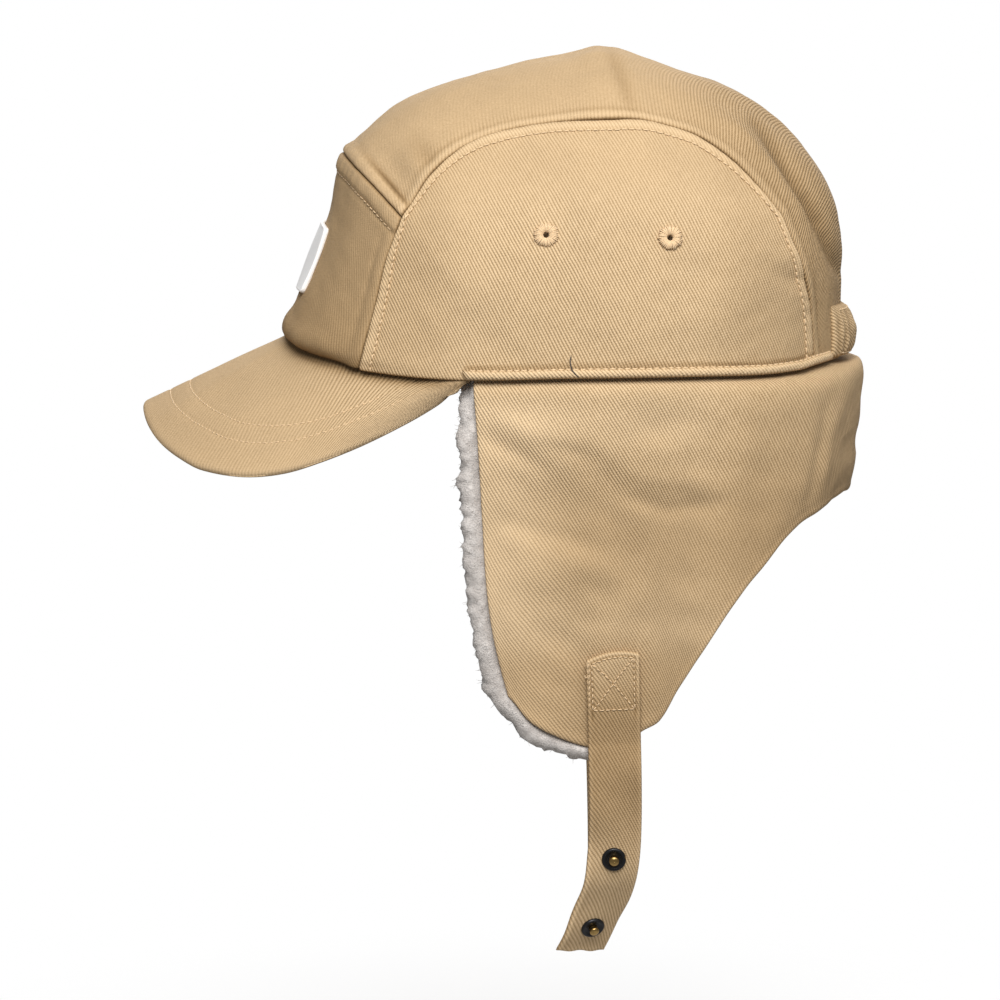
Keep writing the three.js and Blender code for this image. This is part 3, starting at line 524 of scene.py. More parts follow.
def flap_half(turn, down, inset, fullness, folds):
    top = rim_plan(turn, inset)
    top[..., 2] = rim_height(top[..., 1])
    low = np.stack([flap_edge_x(turn), flap_edge_y(turn), flap_edge_z(turn)], axis=-1)
    inside = np.minimum(down, 0)
    down = np.maximum(down, 0)
    drop = np.maximum((top[..., 2] - low[..., 2]) * down - mix(0.9, 1.4, step(66, 82, turn)), 0)
    short = np.minimum(down, 1)
    # At the back the flap turns out sooner, and rolls up under the band.
    back = step(66, 82, turn)
    opened = 1 - np.exp(-drop / mix(1.9, 1.6, back))
    fuller = 1 + 0.15 * back * np.exp(-drop / 14)
    swell = fullness * fuller * flap_swell(turn) * opened * (1 - short**2.6)
    bow = 3.8 * np.sin(math.pi * short**1.9) * np.exp(-(((turn + 18) / 11) ** 2))
    p = mix(top, low, down[..., None])
    fold = fullness * fold_height(folds, p[..., 1], p[..., 2])
    fold = fold * np.minimum(drop / 15, 1) * np.minimum((1.1 - down) * 5, 1)
    p = p + outward(turn) * (swell + fold)[..., None]
    p[..., 1] -= bow
    p[..., 2] += 10 * back * opened**3 * np.exp(-drop / 5) - inside * 100
    return p


def flap_face(turn, down, inset=FLAP_INSET, fullness=1.0, folds=FLAP_FOLDS):
    """Flap face from the left temple round the back, at 90, to the right temple."""
    return flipped(flap_half(near_turn(turn), down, inset, fullness, folds), turn > 90)


def flap_normal(turn, down):
    below_rim = np.maximum(down, 0.006)
    aside = flap_face(turn + 0.3, below_rim) - flap_face(turn - 0.3, below_rim)
    below = flap_face(turn, below_rim + 0.006) - flap_face(turn, below_rim - 0.006)
    skin = unit(np.cross(below, aside))
    side = flipped(outward(near_turn(turn)), turn > 90)
    return unit(mix(side, skin, step(0.0, 0.05, down)[..., None]))


def flap_layer(turn, down, depth, folds=FLAP_FOLDS):
    return flap_face(turn, down, folds=folds) - flap_normal(turn, down) * np.asarray(depth)[..., None]


def flap_at(y, z):
    """Turn and drop of the flap's face at places of the side view."""
    turn = np.full(np.shape(y), 5.0)
    down = np.full(np.shape(y), 0.5)
    for _ in range(60):
        top = rim_height(rim_plan(turn, FLAP_INSET)[..., 1])
        down = (top - z) / (top - flap_edge_z(turn))
        turn = turn + (y - flap_face(turn, down)[..., 1]) * 0.5
    return turn, down


# Peak.
# The first row is mirrored, so that the edge is smooth in the middle.
peak_along, peak_x, peak_y, peak_z = columns_of(((-12, -25, -162.0, -21.0), *PEAK_EDGE))
peak_edge_x = smooth(peak_along, peak_x)
peak_edge_y = smooth(peak_along, peak_y)
peak_edge_z = smooth(peak_along, peak_z)


def peak_face(along, out):
    part = np.abs(along)
    turn = -90 + PEAK_END_TURN * part
    # The root goes in under the front panel, at the height of that panel's lower edge.
    middle = step(1.0, 0.8, part)
    root = rim_plan(turn, 1.2 + 3.0 * middle)
    root[..., 2] = rim_height(rim_plan(turn, 1.2 - 2.2 * middle)[..., 1]) - SEAT_GAP
    place = part * peak_along[-1]
    edge = np.stack([peak_edge_x(place), peak_edge_y(place), peak_edge_z(place)], axis=-1)
    return flipped(mix(root, edge, out[..., None]), along < 0)


# Hem.
def hem_by_y(y, height):
    return crown_by_side(y, rim_height(y) + height)


def hem_by_x(x, height):
    share = x / CROWN_HALF_WIDTH
    angle = rim_angle(share, True)
    for _ in range(8):
        y = crown_at(share, angle)[..., 1]
        angle = side_angle(y, rim_height(y) + height)
    return crown_at(share, angle)


# Meshes.
HOLE_REACH = 12.0
SIDES = (("left", 1), ("right", -1))


def slab_faces(rows, columns):
    """Faces of a closed cloth made of two grids with the same numbering."""
    index = np.arange(2 * rows * columns).reshape(2, rows, columns)

    def quads(a, b, c, d):
        return np.stack([a.ravel(), b.ravel(), c.ravel(), d.ravel()], axis=1)

    top = index[0]
    low = index[1]
    parts = [
        quads(top[:-1, :-1], top[:-1, 1:], top[1:, 1:], top[1:, :-1]),
        quads(low[:-1, :-1], low[1:, :-1], low[1:, 1:], low[:-1, 1:]),
        quads(top[:-1, 0], top[1:, 0], low[1:, 0], low[:-1, 0]),
        quads(top[:-1, -1], low[:-1, -1], low[1:, -1], top[1:, -1]),
        quads(top[0, :-1], low[0, :-1], low[0, 1:], top[0, 1:]),
        quads(top[-1, :-1], top[-1, 1:], low[-1, 1:], low[-1, :-1]),
    ]
    return np.concatenate(parts)


def facing_out(points, faces):
    a = points[faces[:, 0]]
    volume = 0.0
    for i in range(1, faces.shape[1] - 1):
        volume += np.sum(a * np.cross(points[faces[:, i]], points[faces[:, i + 1]]))
    return faces[:, ::-1] if volume < 0 else faces


def put_in_scene(name, data):
    thing = bpy.data.objects.new(name, data)
    bpy.context.scene.collection.objects.link(thing)
    return thing


def make_piece(name, points, faces, materials, slot, uv=None, shade=None, wear_and_painted_light=None, nap=None, kinds=None):
    """Builds a mesh piece from millimetre points; shade, wear and nap are read by the materials."""
    mesh = bpy.data.meshes.new(name)
    mesh.from_pydata((np.asarray(points) * MM).tolist(), [], [list(map(int, face)) for face in faces])
    mesh.shade_smooth()
    for values, label in ((shade, "shade"), (wear_and_painted_light, "wear_and_painted_light"), (nap, "nap")):
        if values is not None:
            layer = mesh.attributes.new(label, "FLOAT", "POINT")
            layer.data.foreach_set("value", np.asarray(values, np.float32).ravel())
    if uv is not None:
        corner_vertex = np.zeros(len(mesh.loops), np.int32)
        mesh.loops.foreach_get("vertex_index", corner_vertex)
        layer = mesh.uv_layers.new(name="cloth")
        layer.data.foreach_set("uv", np.asarray(uv, np.float32)[corner_vertex].ravel())
    for material in materials:
        mesh.materials.append(material)
    if kinds is not None:
        mesh.polygons.foreach_set("material_index", np.asarray(kinds, np.int32))
    mesh.update()
    piece = put_in_scene(name, mesh)
    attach(piece, "root")
    return piece


def make_cloth(
    name, node, outer, inner, uv, shade=None, wear_and_painted_light=None, nap=None, holes=(), cloth="twill", slot="twill"
):
    """A closed cloth piece from its outer and inner grids, in place of a CAD node. A hole has a place, an
    axis and a radius."""
    rows, columns = outer.shape[:2]
    points = np.concatenate([outer.reshape(-1, 3), inner.reshape(-1, 3)])
    faces = facing_out(points, slab_faces(rows, columns))
    both = [
        None if values is None else np.concatenate([values.reshape(rows * columns, -1)] * 2)
        for values in (uv, shade, wear_and_painted_light, nap)
    ]
    middle = points[faces].mean(axis=1)
    keep = np.ones(len(faces), bool)
    for place, axis, radius in holes:
        away = middle - place
        depth = away @ axis
        aside = np.linalg.norm(away - depth[:, None] * axis, axis=1)
        keep &= (aside > radius) | (abs(depth) > HOLE_REACH)
    piece = make_piece(name, points, faces[keep], [material_for(cloth)], slot, *both)
    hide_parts(node)
    return piece


# Stitches.
class Thread:
    """Collects small thread shapes into one mesh; a kind is the number of a material of its piece."""

    def __init__(self):
        self.points = []
        self.faces = []
        self.kinds = []
        self.count = 0

    def add(self, points, faces, kind):
        """Adds points and the faces between them, numbered from 0."""
        self.points.append(points)
        self.faces.extend([[self.count + i for i in face] for face in faces])
        self.kinds.extend([kind] * len(faces))
        self.count += len(points)

    def tube(self, path, normals, radii, sides=6):
        """A closed tube through a path."""
        path = np.asarray(path, float)
        tangent = unit(np.gradient(path, axis=0))
        side = unit(np.cross(tangent, normals))
        up = np.cross(side, tangent)
        turn = np.arange(sides) * 2 * math.pi / sides
        ring = side[:, None] * np.cos(turn)[None, :, None] + up[:, None] * np.sin(turn)[None, :, None]
        points = path[:, None] + ring * np.asarray(radii)[:, None, None]
        index = np.arange(len(path) * sides).reshape(len(path), sides)
        ahead = np.roll(index, -1, axis=1)
        quads = np.stack([index[:-1], ahead[:-1], ahead[1:], index[1:]], axis=-1).reshape(-1, 4)
        self.add(points.reshape(-1, 3), [*quads.tolist(), index[0][::-1].tolist(), index[-1].tolist()], 0)

    def dot(self, place, normal, radius):
        """A small low dark dome over a needle hole: painted shade of the hole."""
        corners = 7
        aside = unit(np.cross(normal, np.array([0.31, 0.52, 0.79])))
        other = np.cross(normal, aside)
        turn = np.arange(corners) * 2 * math.pi / corners
        rim = place + radius * (np.cos(turn)[:, None] * aside + np.sin(turn)[:, None] * other)
        faces = [[i, (i + 1) % corners, corners] for i in range(corners)]
        faces.append(list(range(corners))[::-1])
        self.add(np.concatenate([rim, [place + normal * radius * 0.25]]), faces, 1)

    def piece(self, name, materials, slot="thread"):
        finishes = [material_for(material) for material in materials]
        return make_piece(name, np.concatenate(self.points), self.faces, finishes, slot, kinds=self.kinds)


def run_lengths(points):
    """Length along a line of points, from its start."""
    return np.concatenate([[0], np.cumsum(np.linalg.norm(np.diff(points, axis=0), axis=1))])


def resampled(points, normals, spacing):
    """A line and its normals again at even steps."""
    lengths = run_lengths(points)
    count = max(int(round(lengths[-1] / spacing)), 1)
    at = np.linspace(0, lengths[-1], count + 1)
    line = np.stack([np.interp(at, lengths, points[:, k]) for k in range(3)], axis=1)
    ups = np.stack([np.interp(at, lengths, normals[:, k]) for k in range(3)], axis=1)
    return line, unit(ups)


def sew(thread, points, normals, stitch, width, random):
    """A lockstitch row: each stitch rises out of one needle hole and goes down into the next."""
    line, ups = resampled(points, normals, stitch)
    for i in range(len(line) - 1):
        ahead = line[i + 1] - line[i]
        start = line[i] + ahead * 0.12
        end = line[i + 1] - ahead * 0.12
        up = unit(ups[i] + ups[i + 1])
        rise = np.array([-0.12, 0.16, 0.24, 0.16, -0.12]) * (1 + random.uniform(-0.15, 0.15))
        t = np.array([0, 0.2, 0.5, 0.8, 1])[:, None]
        path = start + (end - start) * t + up * rise[:, None]
        path = path + np.cross(unit(ahead), up) * random.uniform(-0.07, 0.07)
        radii = width * np.array([0.55, 0.95, 1.0, 0.95, 0.55])
        thread.tube(path, np.repeat(up[None], 5, axis=0), radii)
        thread.dot(line[i] + ups[i] * 0.02, ups[i], 0.23)


def line_at(points, normals, distance, wanted):
    """The line of a grid that lies a wanted distance from a border, one point for each column."""
    both = np.concatenate([points, normals], axis=-1)
    found = []
    for c in range(points.shape[1]):
        away = distance[:, c]
        order = np.argsort(away)
        if away.max() >= wanted:
            found.append([np.interp(wanted, away[order], both[order, c, k]) for k in range(6)])
    found = np.array(found)
    return found[:, :3], unit(found[:, 3:])


# Materials.
def linear(code, factor=1.0):
    """An sRGB hex colour as linear light."""
    levels = [int(code[i : i + 2], 16) / 255 for i in (1, 3, 5)]
    values = [v / 12.92 if v <= 0.04045 else ((v + 0.055) / 1.055) ** 2.4 for v in levels]
    return (*[v * factor for v in values], 1.0)


def add_node(tree, kind, settings=None, inputs=None):
    """Adds a node, sets its properties, and fills its inputs with values or links."""
    made = tree.nodes.new(kind)
    for name, value in (settings or {}).items():
        setattr(made, name, value)
    for name, value in (inputs or {}).items():
        if isinstance(value, bpy.types.NodeSocket):
            tree.links.new(value, made.inputs[name])
        else:
            made.inputs[name].default_value = value
    return made


class Finish:
    """A material in the making, with one short call for each kind of node; a call gives a node's output."""

    def __init__(self, name):
        self.material = bpy.data.materials.new(name)
        self.material.use_nodes = True
        self.tree = self.material.node_tree
        self.tree.nodes.clear()

    def add(self, kind, settings=None, inputs=None, output=0):
        return add_node(self.tree, kind, settings, inputs).outputs[output]

    def place(self):
        return self.add("ShaderNodeTexCoord", output="Object")

    def cloth(self):
        """Places on the flat cloth, in millimetres."""
        return self.add("ShaderNodeUVMap", {"uv_map": "cloth"})

    def attribute(self, name):
        return self.add("ShaderNodeAttribute", {"attribute_name": name}, output="Fac")

    def noise(self, place, scale, detail=2.0, roughness=0.5, output="Fac"):
        inputs = {"Vector": place, "Scale": scale, "Detail": detail, "Roughness": roughness}
        return self.add("ShaderNodeTexNoise", inputs=inputs, output=output)

    def maths(self, operation, *values, clamp=False):
        settings = {"operation": operation, "use_clamp": clamp}
        return self.add("ShaderNodeMath", settings, dict(enumerate(values)))

    def vector(self, operation, *values, output=0):
        return self.add("ShaderNodeVectorMath", {"operation": operation}, dict(enumerate(values)), output)

    def scaled(self, vector, factor):
        return self.add("ShaderNodeVectorMath", {"operation": "SCALE"}, {0: vector, "Scale": factor})

    def blend(self, share, first, second):
        """Colour between two, at a share."""
        return self.add("ShaderNodeMix", {"data_type": "RGBA"}, {0: share, 6: first, 7: second}, 2)

    def relief(self, height, depth, strength, hollow=False):
        """Surface direction from a height, with a depth in millimetres."""
        inputs = {"Strength": strength, "Distance": depth * MM, "Height": height}
        return self.add("ShaderNodeBump", {"invert": hollow}, inputs)

    def surface(self, inputs):
        return self.add("ShaderNodeBsdfPrincipled", inputs=inputs)

    def ended(self, shader):
        add_node(self.tree, "ShaderNodeOutputMaterial", inputs={"Surface": shader})
        return self.material


def twill_material(name, rib_code, groove_code, pitch, depth):
    """Piece-dyed cotton twill, woven and washed: light ribs that lean from the warp, with thin dark
    grooves, uneven yarns and paler worn ridges, plus painted shade deep in the seams and on parts
    turned from the lamps, and painted light on the flap's upper part."""
    twill = Finish(name)
    lean = math.radians(TWILL_LEAN)
    cloth = twill.cloth()
    # The ribs wander a little, over about 12 mm.
    drift = twill.noise(cloth, 0.085, output="Color")
    centred = twill.vector("SUBTRACT", drift, (0.5, 0.5, 0.5))
    placed = twill.vector("ADD", cloth, twill.scaled(centred, 0.7))
    over_ribs = (math.cos(lean) / pitch, math.sin(lean) / pitch, 0)
    across = twill.vector("DOT_PRODUCT", placed, over_ribs, output="Value")
    rise = twill.maths("PINGPONG", across, 0.5)
    rib = twill.maths("POWER", twill.maths("MULTIPLY", rise, 2.0), 0.62)
    # Yarn floats lie along each rib, set off from rib to rib.
    offset = twill.maths("MULTIPLY", twill.maths("FLOOR", across), 0.37)
    down_ribs = (-math.sin(lean) / FLOAT_LENGTH, math.cos(lean) / FLOAT_LENGTH, 0)
    along = twill.vector("DOT_PRODUCT", placed, down_ribs, output="Value")
    knuckle = twill.maths("PINGPONG", twill.maths("ADD", along, offset), 0.5)
    # Slubs: yarns run up the cloth, so the noise is stretched that way.
    stretched = twill.vector("MULTIPLY", cloth, (1.5, 0.22, 1.0))
    slubs = twill.maths("MULTIPLY_ADD", twill.noise(stretched, 1.0, 3.0, 0.6), 0.5, -0.25)
    body = twill.maths("MULTIPLY_ADD", rib, 0.72, twill.maths("MULTIPLY", knuckle, 0.34))
    grains = twill.maths("MULTIPLY_ADD", twill.noise(cloth, 1.6, 2.0, 0.7), 0.4, -0.2)
    crisp = twill.maths("ADD", twill.maths("ADD", body, slubs), grains, clamp=True)
    # Brushed cloth has its nap laid over the ribs, which shows them less.
    brushed = twill.maths("MULTIPLY_ADD", twill.noise(cloth, 1.1, 4.0, 0.8), 0.8, 0.16)
    levels = {0: twill.attribute("nap"), 2: crisp, 3: brushed}
    level = twill.add("ShaderNodeMix", {"data_type": "FLOAT"}, levels)
    woven = twill.blend(level, linear(groove_code), linear(rib_code))
    # Washed cloth varies by a few per cent over the width of a hand.
    faded = twill.maths("MULTIPLY_ADD", twill.noise(cloth, 0.03, 3.0, 0.6), 0.22, 0.89)
    worn = twill.blend(twill.attribute("wear_and_painted_light"), twill.scaled(woven, faded), linear(rib_code, 1.12))
    # Painted shade: the shade attribute deepens the colour, as light tinted by the surrounding cloth would,
    # and mixes it towards a darkened colour of the grooves.
    shade = twill.attribute("shade")
    shade_deepening = twill.maths("MULTIPLY_ADD", shade, 0.6, 1.0)
    dyed = twill.add("ShaderNodeGamma", inputs={"Color": worn, "Gamma": shade_deepening})
    inputs = {
        "Base Color": twill.blend(shade, dyed, linear(groove_code, 0.3)),
        "Roughness": 0.9,
        "IOR": 1.5,
        "Specular IOR Level": 0.25,
        "Sheen Weight": 0.08,
        "Sheen Roughness": 0.5,
        "Sheen Tint": linear(rib_code),
        "Normal": twill.relief(level, depth, 1.0),
    }
    return twill.ended(twill.surface(inputs))


def fleece_material(code, shade_code):
    """Knitted polyester pile, brushed and sheared into soft tufts: matt, with a pale haze at its edge and
    small grey hollows between the tufts."""
    pile = Finish("Polyester fleece, brushed pile")
    place = pile.place()
    # Tufts about 3 mm across, fibres about 0.5 mm.
    cells = {"Vector": place, "Scale": 330.0, "Smoothness": 0.6}
    tuft = pile.add("ShaderNodeTexVoronoi", {"feature": "SMOOTH_F1"}, cells, "Distance")
    hollow = pile.maths("MULTIPLY_ADD", tuft, 0.55, -0.12)
    fibres = pile.maths("MULTIPLY_ADD", pile.noise(place, 1500.0, 3.0, 0.7), -1.0, 0.56)
    mottled = pile.maths("MULTIPLY_ADD", pile.noise(place, 120.0, 3.0, 0.6), -1.2, 0.68)
    dark = pile.maths("ADD", pile.maths("ADD", hollow, fibres), mottled, clamp=True)
    inputs = {
        "Base Color": pile.blend(dark, linear(code), linear(shade_code)),
        "Roughness": 1.0,
        "Specular IOR Level": 0.1,
        "Sheen Weight": 0.5,
        "Sheen Roughness": 0.6,
        "Normal": pile.relief(dark, 0.9, 0.9, hollow=True),
    }
    return pile.ended(pile.surface(inputs))


def label_material(code, edge_code):
    """Damask-woven polyester label, cut with a heat-sealed pale edge: fine level ribs and a faint gloss.
    It also gives off a little painted light of its own, which lightens its face."""
    label = Finish("Polyester damask label, woven and heat-sealed")
    cloth = label.cloth()
    # Weft ribs every 0.6 mm.
    ribs = {"Vector": cloth, "Scale": 0.52, "Distortion": 0.4}
    weft = label.add("ShaderNodeTexWave", {"bands_direction": "Y"}, ribs, "Fac")
    level = label.maths("MULTIPLY_ADD", weft, 0.5, label.noise(cloth, 1.3))
    ground = label.blend(level, linear(code, 0.95), linear(code, 1.04))
    inputs = {
        "Base Color": label.blend(label.attribute("wear_and_painted_light"), ground, linear(edge_code)),
        "Roughness": 0.7,
        "Sheen Weight": 0.1,
        # A little painted light of its own lightens the label's face.
        "Emission Color": linear(code),
        "Emission Strength": 0.08,
        "Normal": label.relief(level, 0.15, 0.6),
    }
    return label.ended(label.surface(inputs))


def thread_material(name, code, shade_code):
    """Spun polyester sewing thread, twisted from two plies: a soft gloss and fine slanting dark lines."""
    thread = Finish(name)
    # Ply twist every 0.5 mm.
    ply = thread.noise(thread.place(), 1900.0, 2.0, 0.6)
    colour = thread.blend(ply, linear(shade_code), linear(code, 1.1))
    relief = thread.relief(ply, 0.1, 0.5)
    inputs = {"Base Color": colour, "Roughness": 0.65, "Sheen Weight": 0.2, "Normal": relief}
    return thread.ended(thread.surface(inputs))


def hole_material(code):
    """Needle hole, cloth pushed apart and in shade: matt and dark."""
    hole = Finish("Cotton twill, pierced and in shade")
    frayed = hole.noise(hole.place(), 2500.0)
    colour = hole.blend(frayed, linear(code, 0.8), linear(code, 1.3))
    return hole.ended(hole.surface({"Base Color": colour, "Roughness": 1.0, "Specular IOR Level": 0.0}))


def painted_metal_material(code, worn_code):
    """Pressed brass, blackened and lacquered: near black, with a satin gloss, fine scuffs and a warm glint
    where the lacquer has worn at the edge."""
    metal = Finish("Pressed brass, blackened and lacquered")
    scuff = metal.noise(metal.place(), 900.0, 4.0, 0.7)
    gloss = metal.maths("MULTIPLY_ADD", scuff, 0.3, 0.22)
    edge = metal.add("ShaderNodeNewGeometry", output="Pointiness")
    bare = metal.add("ShaderNodeMapRange", inputs={"Value": edge, "From Min": 0.56, "From Max": 0.72})
    colour = metal.blend(bare, linear(code), linear(worn_code))
    relief = metal.relief(scuff, 0.05, 0.15)
    inputs = {"Base Color": colour, "Metallic": 0.7, "Roughness": gloss, "Normal": relief}
    return metal.ended(metal.surface(inputs))


def brass_material(code):
    """Brass, pressed and tumbled: warm metal with a broken gloss and a little brown tarnish."""
    metal = Finish("Brass, pressed and tumbled")
    tarnish = metal.noise(metal.place(), 600.0, 4.0, 0.7)
    gloss = metal.maths("MULTIPLY_ADD", tarnish, 0.35, 0.15)
    colour = metal.blend(tarnish, linear(code), linear(code, 0.45))
    return metal.ended(metal.surface({"Base Color": colour, "Metallic": 1.0, "Roughness": gloss}))


def floor_material(code):
    """Matt emulsion on a smooth board: pale and even, with a faint roller stipple."""
    board = Finish("Board, painted matt")
    place = board.place()
    relief = board.relief(board.noise(place, 400.0), 0.1, 0.05)
    paint = board.surface({"Base Color": linear(code), "Roughness": 0.95, "Normal": relief})
    # The board fades out before its edge, so that no line of it shows behind the cap.
    away = board.vector("LENGTH", place, output="Value")
    reach = {"Value": away, "From Min": FLOOR_CLEAR * MM, "From Max": FLOOR_REACH * MM}
    fade = board.add("ShaderNodeMapRange", {"interpolation_type": "SMOOTHSTEP"}, reach)
    nothing = board.add("ShaderNodeBsdfTransparent")
    return board.ended(board.add("ShaderNodeMixShader", inputs={0: fade, 1: paint, 2: nothing}))


LOOSE_THREAD = ("#2c2622", "#1c1816")
made = {}


def material_for(name):
    """The cap's materials, each made once."""
    if not made:
        colours = bpy.context.scene.cap_colours
        pitch = bpy.context.scene.cap_sizes.rib_pitch
        twill = (colours.twill_rib, colours.twill_groove, pitch, TWILL_DEPTH)
        fleece = (colours.fleece, colours.fleece_shade)
        thread = (colours.thread, colours.thread_shade)
        made["twill"] = twill_material("Cotton twill, piece-dyed and washed", *twill)
        made["fleece"] = fleece_material(*fleece)
        made["label"] = label_material(colours.label, colours.label_edge)
        made["thread"] = thread_material("Polyester thread, spun", *thread)
        # A darker copy of the thread, painted in shade, for the eyelets' ring that lies under their stitches.
        low = (colours.thread_shade, colours.hole)
        made["thread_in_painted_shade"] = thread_material("Polyester thread, laid under, in painted shade", *low)
        made["hole"] = hole_material(colours.hole)
        made["snap"] = painted_metal_material(colours.snap, colours.brass)
        made["brass"] = brass_material(colours.brass)
        made["fibre"] = thread_material("Polyester pile fibre, combed", *fleece)
        made["loose"] = thread_material("Cotton thread end, dyed dark", *LOOSE_THREAD)
    return made[name]


# Pieces.
surfaces = {}


def colour_code(name, description, default):
    return bpy.props.StringProperty(name=name, description=description, default=default, maxlen=7)


class CapColours(bpy.types.PropertyGroup):
    """Colours of the cap's cloth, thread and metal, as sRGB hex values."""

    twill_rib: colour_code("Twill ribs", "Colour of the cloth's raised ribs", "#ebcea6")
    twill_groove: colour_code("Twill grooves", "Colour between the ribs", "#95764b")
    fleece: colour_code("Fleece", "Colour of the fleece tufts", "#ded7d1")
    fleece_shade: colour_code("Fleece hollows", "Colour between the tufts", "#a79d95")
    label: colour_code("Label", "Colour of the bare label", "#fbfaf9")
    label_edge: colour_code("Label edge", "Colour of the label's woven edge", "#f6f2ee")
    thread: colour_code("Thread", "Colour of the stitches", "#ebcfa8")
    thread_shade: colour_code("Thread shade", "Colour between the plies", "#c9a97e")
    hole: colour_code("Needle holes", "Colour of the needle holes", "#a5865a")
    snap: colour_code("Snap", "Colour of the snaps' black paint", "#2a2a2c")
    brass: colour_code("Brass", "Colour of the snap studs", "#c4a266")
    floor: colour_code("Floor", "Colour of the stage floor", "#f4f3f1")


def millimetres(name, description, default, low, high):
    text = f"{description}, in millimetres"
    return bpy.props.FloatProperty(name=name, description=text, default=default, min=low, max=high)


class CapSizes(bpy.types.PropertyGroup):
    """Sizes of the cap's cloth detail."""

    rib_pitch: millimetres("Rib pitch", "Distance between twill ribs", 1.13, 0.3, 4)
    grid_step: millimetres("Grid step", "Distance between mesh points", 1.25, 0.6, 6)
    stitch: millimetres("Stitch length", "Length of a stitch", 2.7, 1.2, 6)
    thread_width: millimetres("Thread radius", "Radius of the sewing thread", 0.28, 0.1, 1)
    fibres: bpy.props.IntProperty(
        name="Pile fibres", description="Number of loose fibres on the fleece", default=5200, min=0, max=12000
    )
    view_distance: bpy.props.FloatProperty(
        name="View distance",
        description="Distance of the camera",
        default=VIEW_DISTANCE * MM,
        unit="LENGTH",
        subtype="DISTANCE",
    )


def grid_step():
    return bpy.context.scene.cap_sizes.grid_step


def mirror(sign):
    return np.array([sign, 1, 1])


def level_table(start, end):
    """Running length along the crown's side, 20 mm above the origin."""
    y = np.linspace(start, end, 400)
    return y, run_lengths(crown_by_side(y, np.full_like(y, 20.0)))


def cloth_height(points):
    """Length up the crown's side from the level of the origin, for the run of the weave."""
    y = points[..., 1]
    z = points[..., 2]
    steps = 24
    total = np.zeros(y.shape)
    before = crown_by_side(y, np.zeros_like(z))
    for i in range(1, steps + 1):
        here = crown_by_side(y, z * i / steps)
        total += np.linalg.norm(here - before, axis=-1)
        before = here
    return np.sign(z) * total


def make_side_panels():
    spacing = grid_step()
    skin = side_panel_skin(shares(165, spacing), shares(88, spacing))
    low, high, fore, aft = border_distances(skin)
    # The hem sits down on the peak where the binding ends.
    skin[..., 2] -= 0.55 * np.exp(-low / 1.5) * step(-34, -40, skin[..., 1])
    normal = crown_normal(skin)
    y = skin[..., 1]
    z = skin[..., 2]
    seam = nearest(high, fore, aft)
    run = np.where(high <= nearest(fore, aft), y, z)
    lift = -1.0 * fall(seam, 1.1)
    lift += 0.35 * step(5.8, 4.4, seam) - 0.32 * bump(seam, SIDE_ROW, 0.8)
    lift += 0.13 * puckers(run, 5.4, 2.2, 0.21) * bump(seam, 3.2, 3.4)
    lift += 0.25 * ripple(skin, 34, 11) + 0.06 * ripple(skin, 9, 12)
    lift += fold_height(SIDE_FOLDS, y, z)
    lift -= 0.9 * fall(low, 1.0)
    outer, inner = crown_layers(skin, lift)
    uv = np.stack([np.interp(y, *level_table(-84, 95)), cloth_height(skin)], axis=-1)
    shade = 0.5 * fall(seam, 0.8) + 0.07 * bump(seam, SIDE_ROW, 0.6) + 0.5 * fall(low, 1.2)
    # A line of painted shade runs along the stitches over the binding.
    stitch_line_shade = bump(low, BINDING_HEIGHT + 0.7, 0.8)
    shade += 0.42 * stitch_line_shade * step(BINDING_FRONT_Y, BINDING_FRONT_Y + 2, y)
    shade += 0.07 * step(40, 70, y) + 0.07 * step(-35, -60, y) + 0.05 * step(60, 80, z)
    wear_and_painted_light = 0.32 * bump(seam, 2.6, 1.5)
    nap = np.minimum(0.38 * step(45, 80, z) + 0.22 * step(-20, -50, y), 0.4)
    surfaces["side"] = (outer, grid_normals(outer, normal), high, fore, aft)
    places = [crown_by_side(np.array(y), np.array(z)) for _, y, z in EYELET_PLACES]
    for side_name, sign in SIDES:
        flip = mirror(sign)
        holes = [(place * flip, crown_normal(place) * flip, EYELET_CUT) for place in places]
        name = f"twill_side_panel_{side_name}"
        node = f"side_panel_{side_name}"
        side_uv = uv * np.array([sign, 1])
        make_cloth(name, node, outer * flip, inner * flip, side_uv, shade, wear_and_painted_light, nap, holes)


def make_front_panel():
    spacing = grid_step()
    u = shares(190, spacing)
    skin = front_panel_skin(u, shares(72, spacing))
    normal = crown_normal(skin)
    low, high, one, other = border_distances(skin)
    seam = nearest(one, other)
    aside = np.abs(2 * u - 1)
    lift = -1.2 * fall(seam, 1.2) - 1.5 * fall(high, 1.6)
    lift += 0.9 * step(7.4, 5.8, high) - 0.5 * bump(high, CREST_ROW, 0.9)
    # The side seam's turned edge shows as a soft crease beside it.
    lift += 0.35 * bump(seam, 3.0, 2.0) - 0.45 * bump(seam, 6.4, 1.1) * step(0, 20, low) * step(60, 40, low)
    lift += 0.14 * puckers(skin[..., 0], 6.1, 1.7, 0.17) * bump(high, 3, 4)
    lift += 0.3 * ripple(skin, 30, 21) + 0.05 * ripple(skin, 8, 22)
    # The lower edge rolls under onto the peak.
    lift += 0.9 * bump(low, 6.5, 4.0) * step(0.95, 0.6, aside)[None, :]
    lift -= 2.6 * fall(low, 5.0) * step(0.99, 0.85, aside)[None, :]
    outer, inner = crown_layers(skin, lift)
    uv = np.stack([from_middle(skin), low], axis=-1)
    shade = 0.75 * fall(seam, 0.9) + 0.8 * fall(high, 1.2) + 0.12 * bump(high, CREST_ROW, 0.7)
    shade += 0.6 * fall(low, 3.0) + 0.18 + 0.24 * np.exp(-low / 30)
    wear_and_painted_light = 0.25 * bump(high, 2.4, 1.2)
    nap = 0.74 - 0.22 * np.exp(-low / 22)
    surfaces["front"] = (outer, grid_normals(outer, normal), high)
    make_cloth("twill_front_panel", "front_panel", outer, inner, uv, shade, wear_and_painted_light, nap)


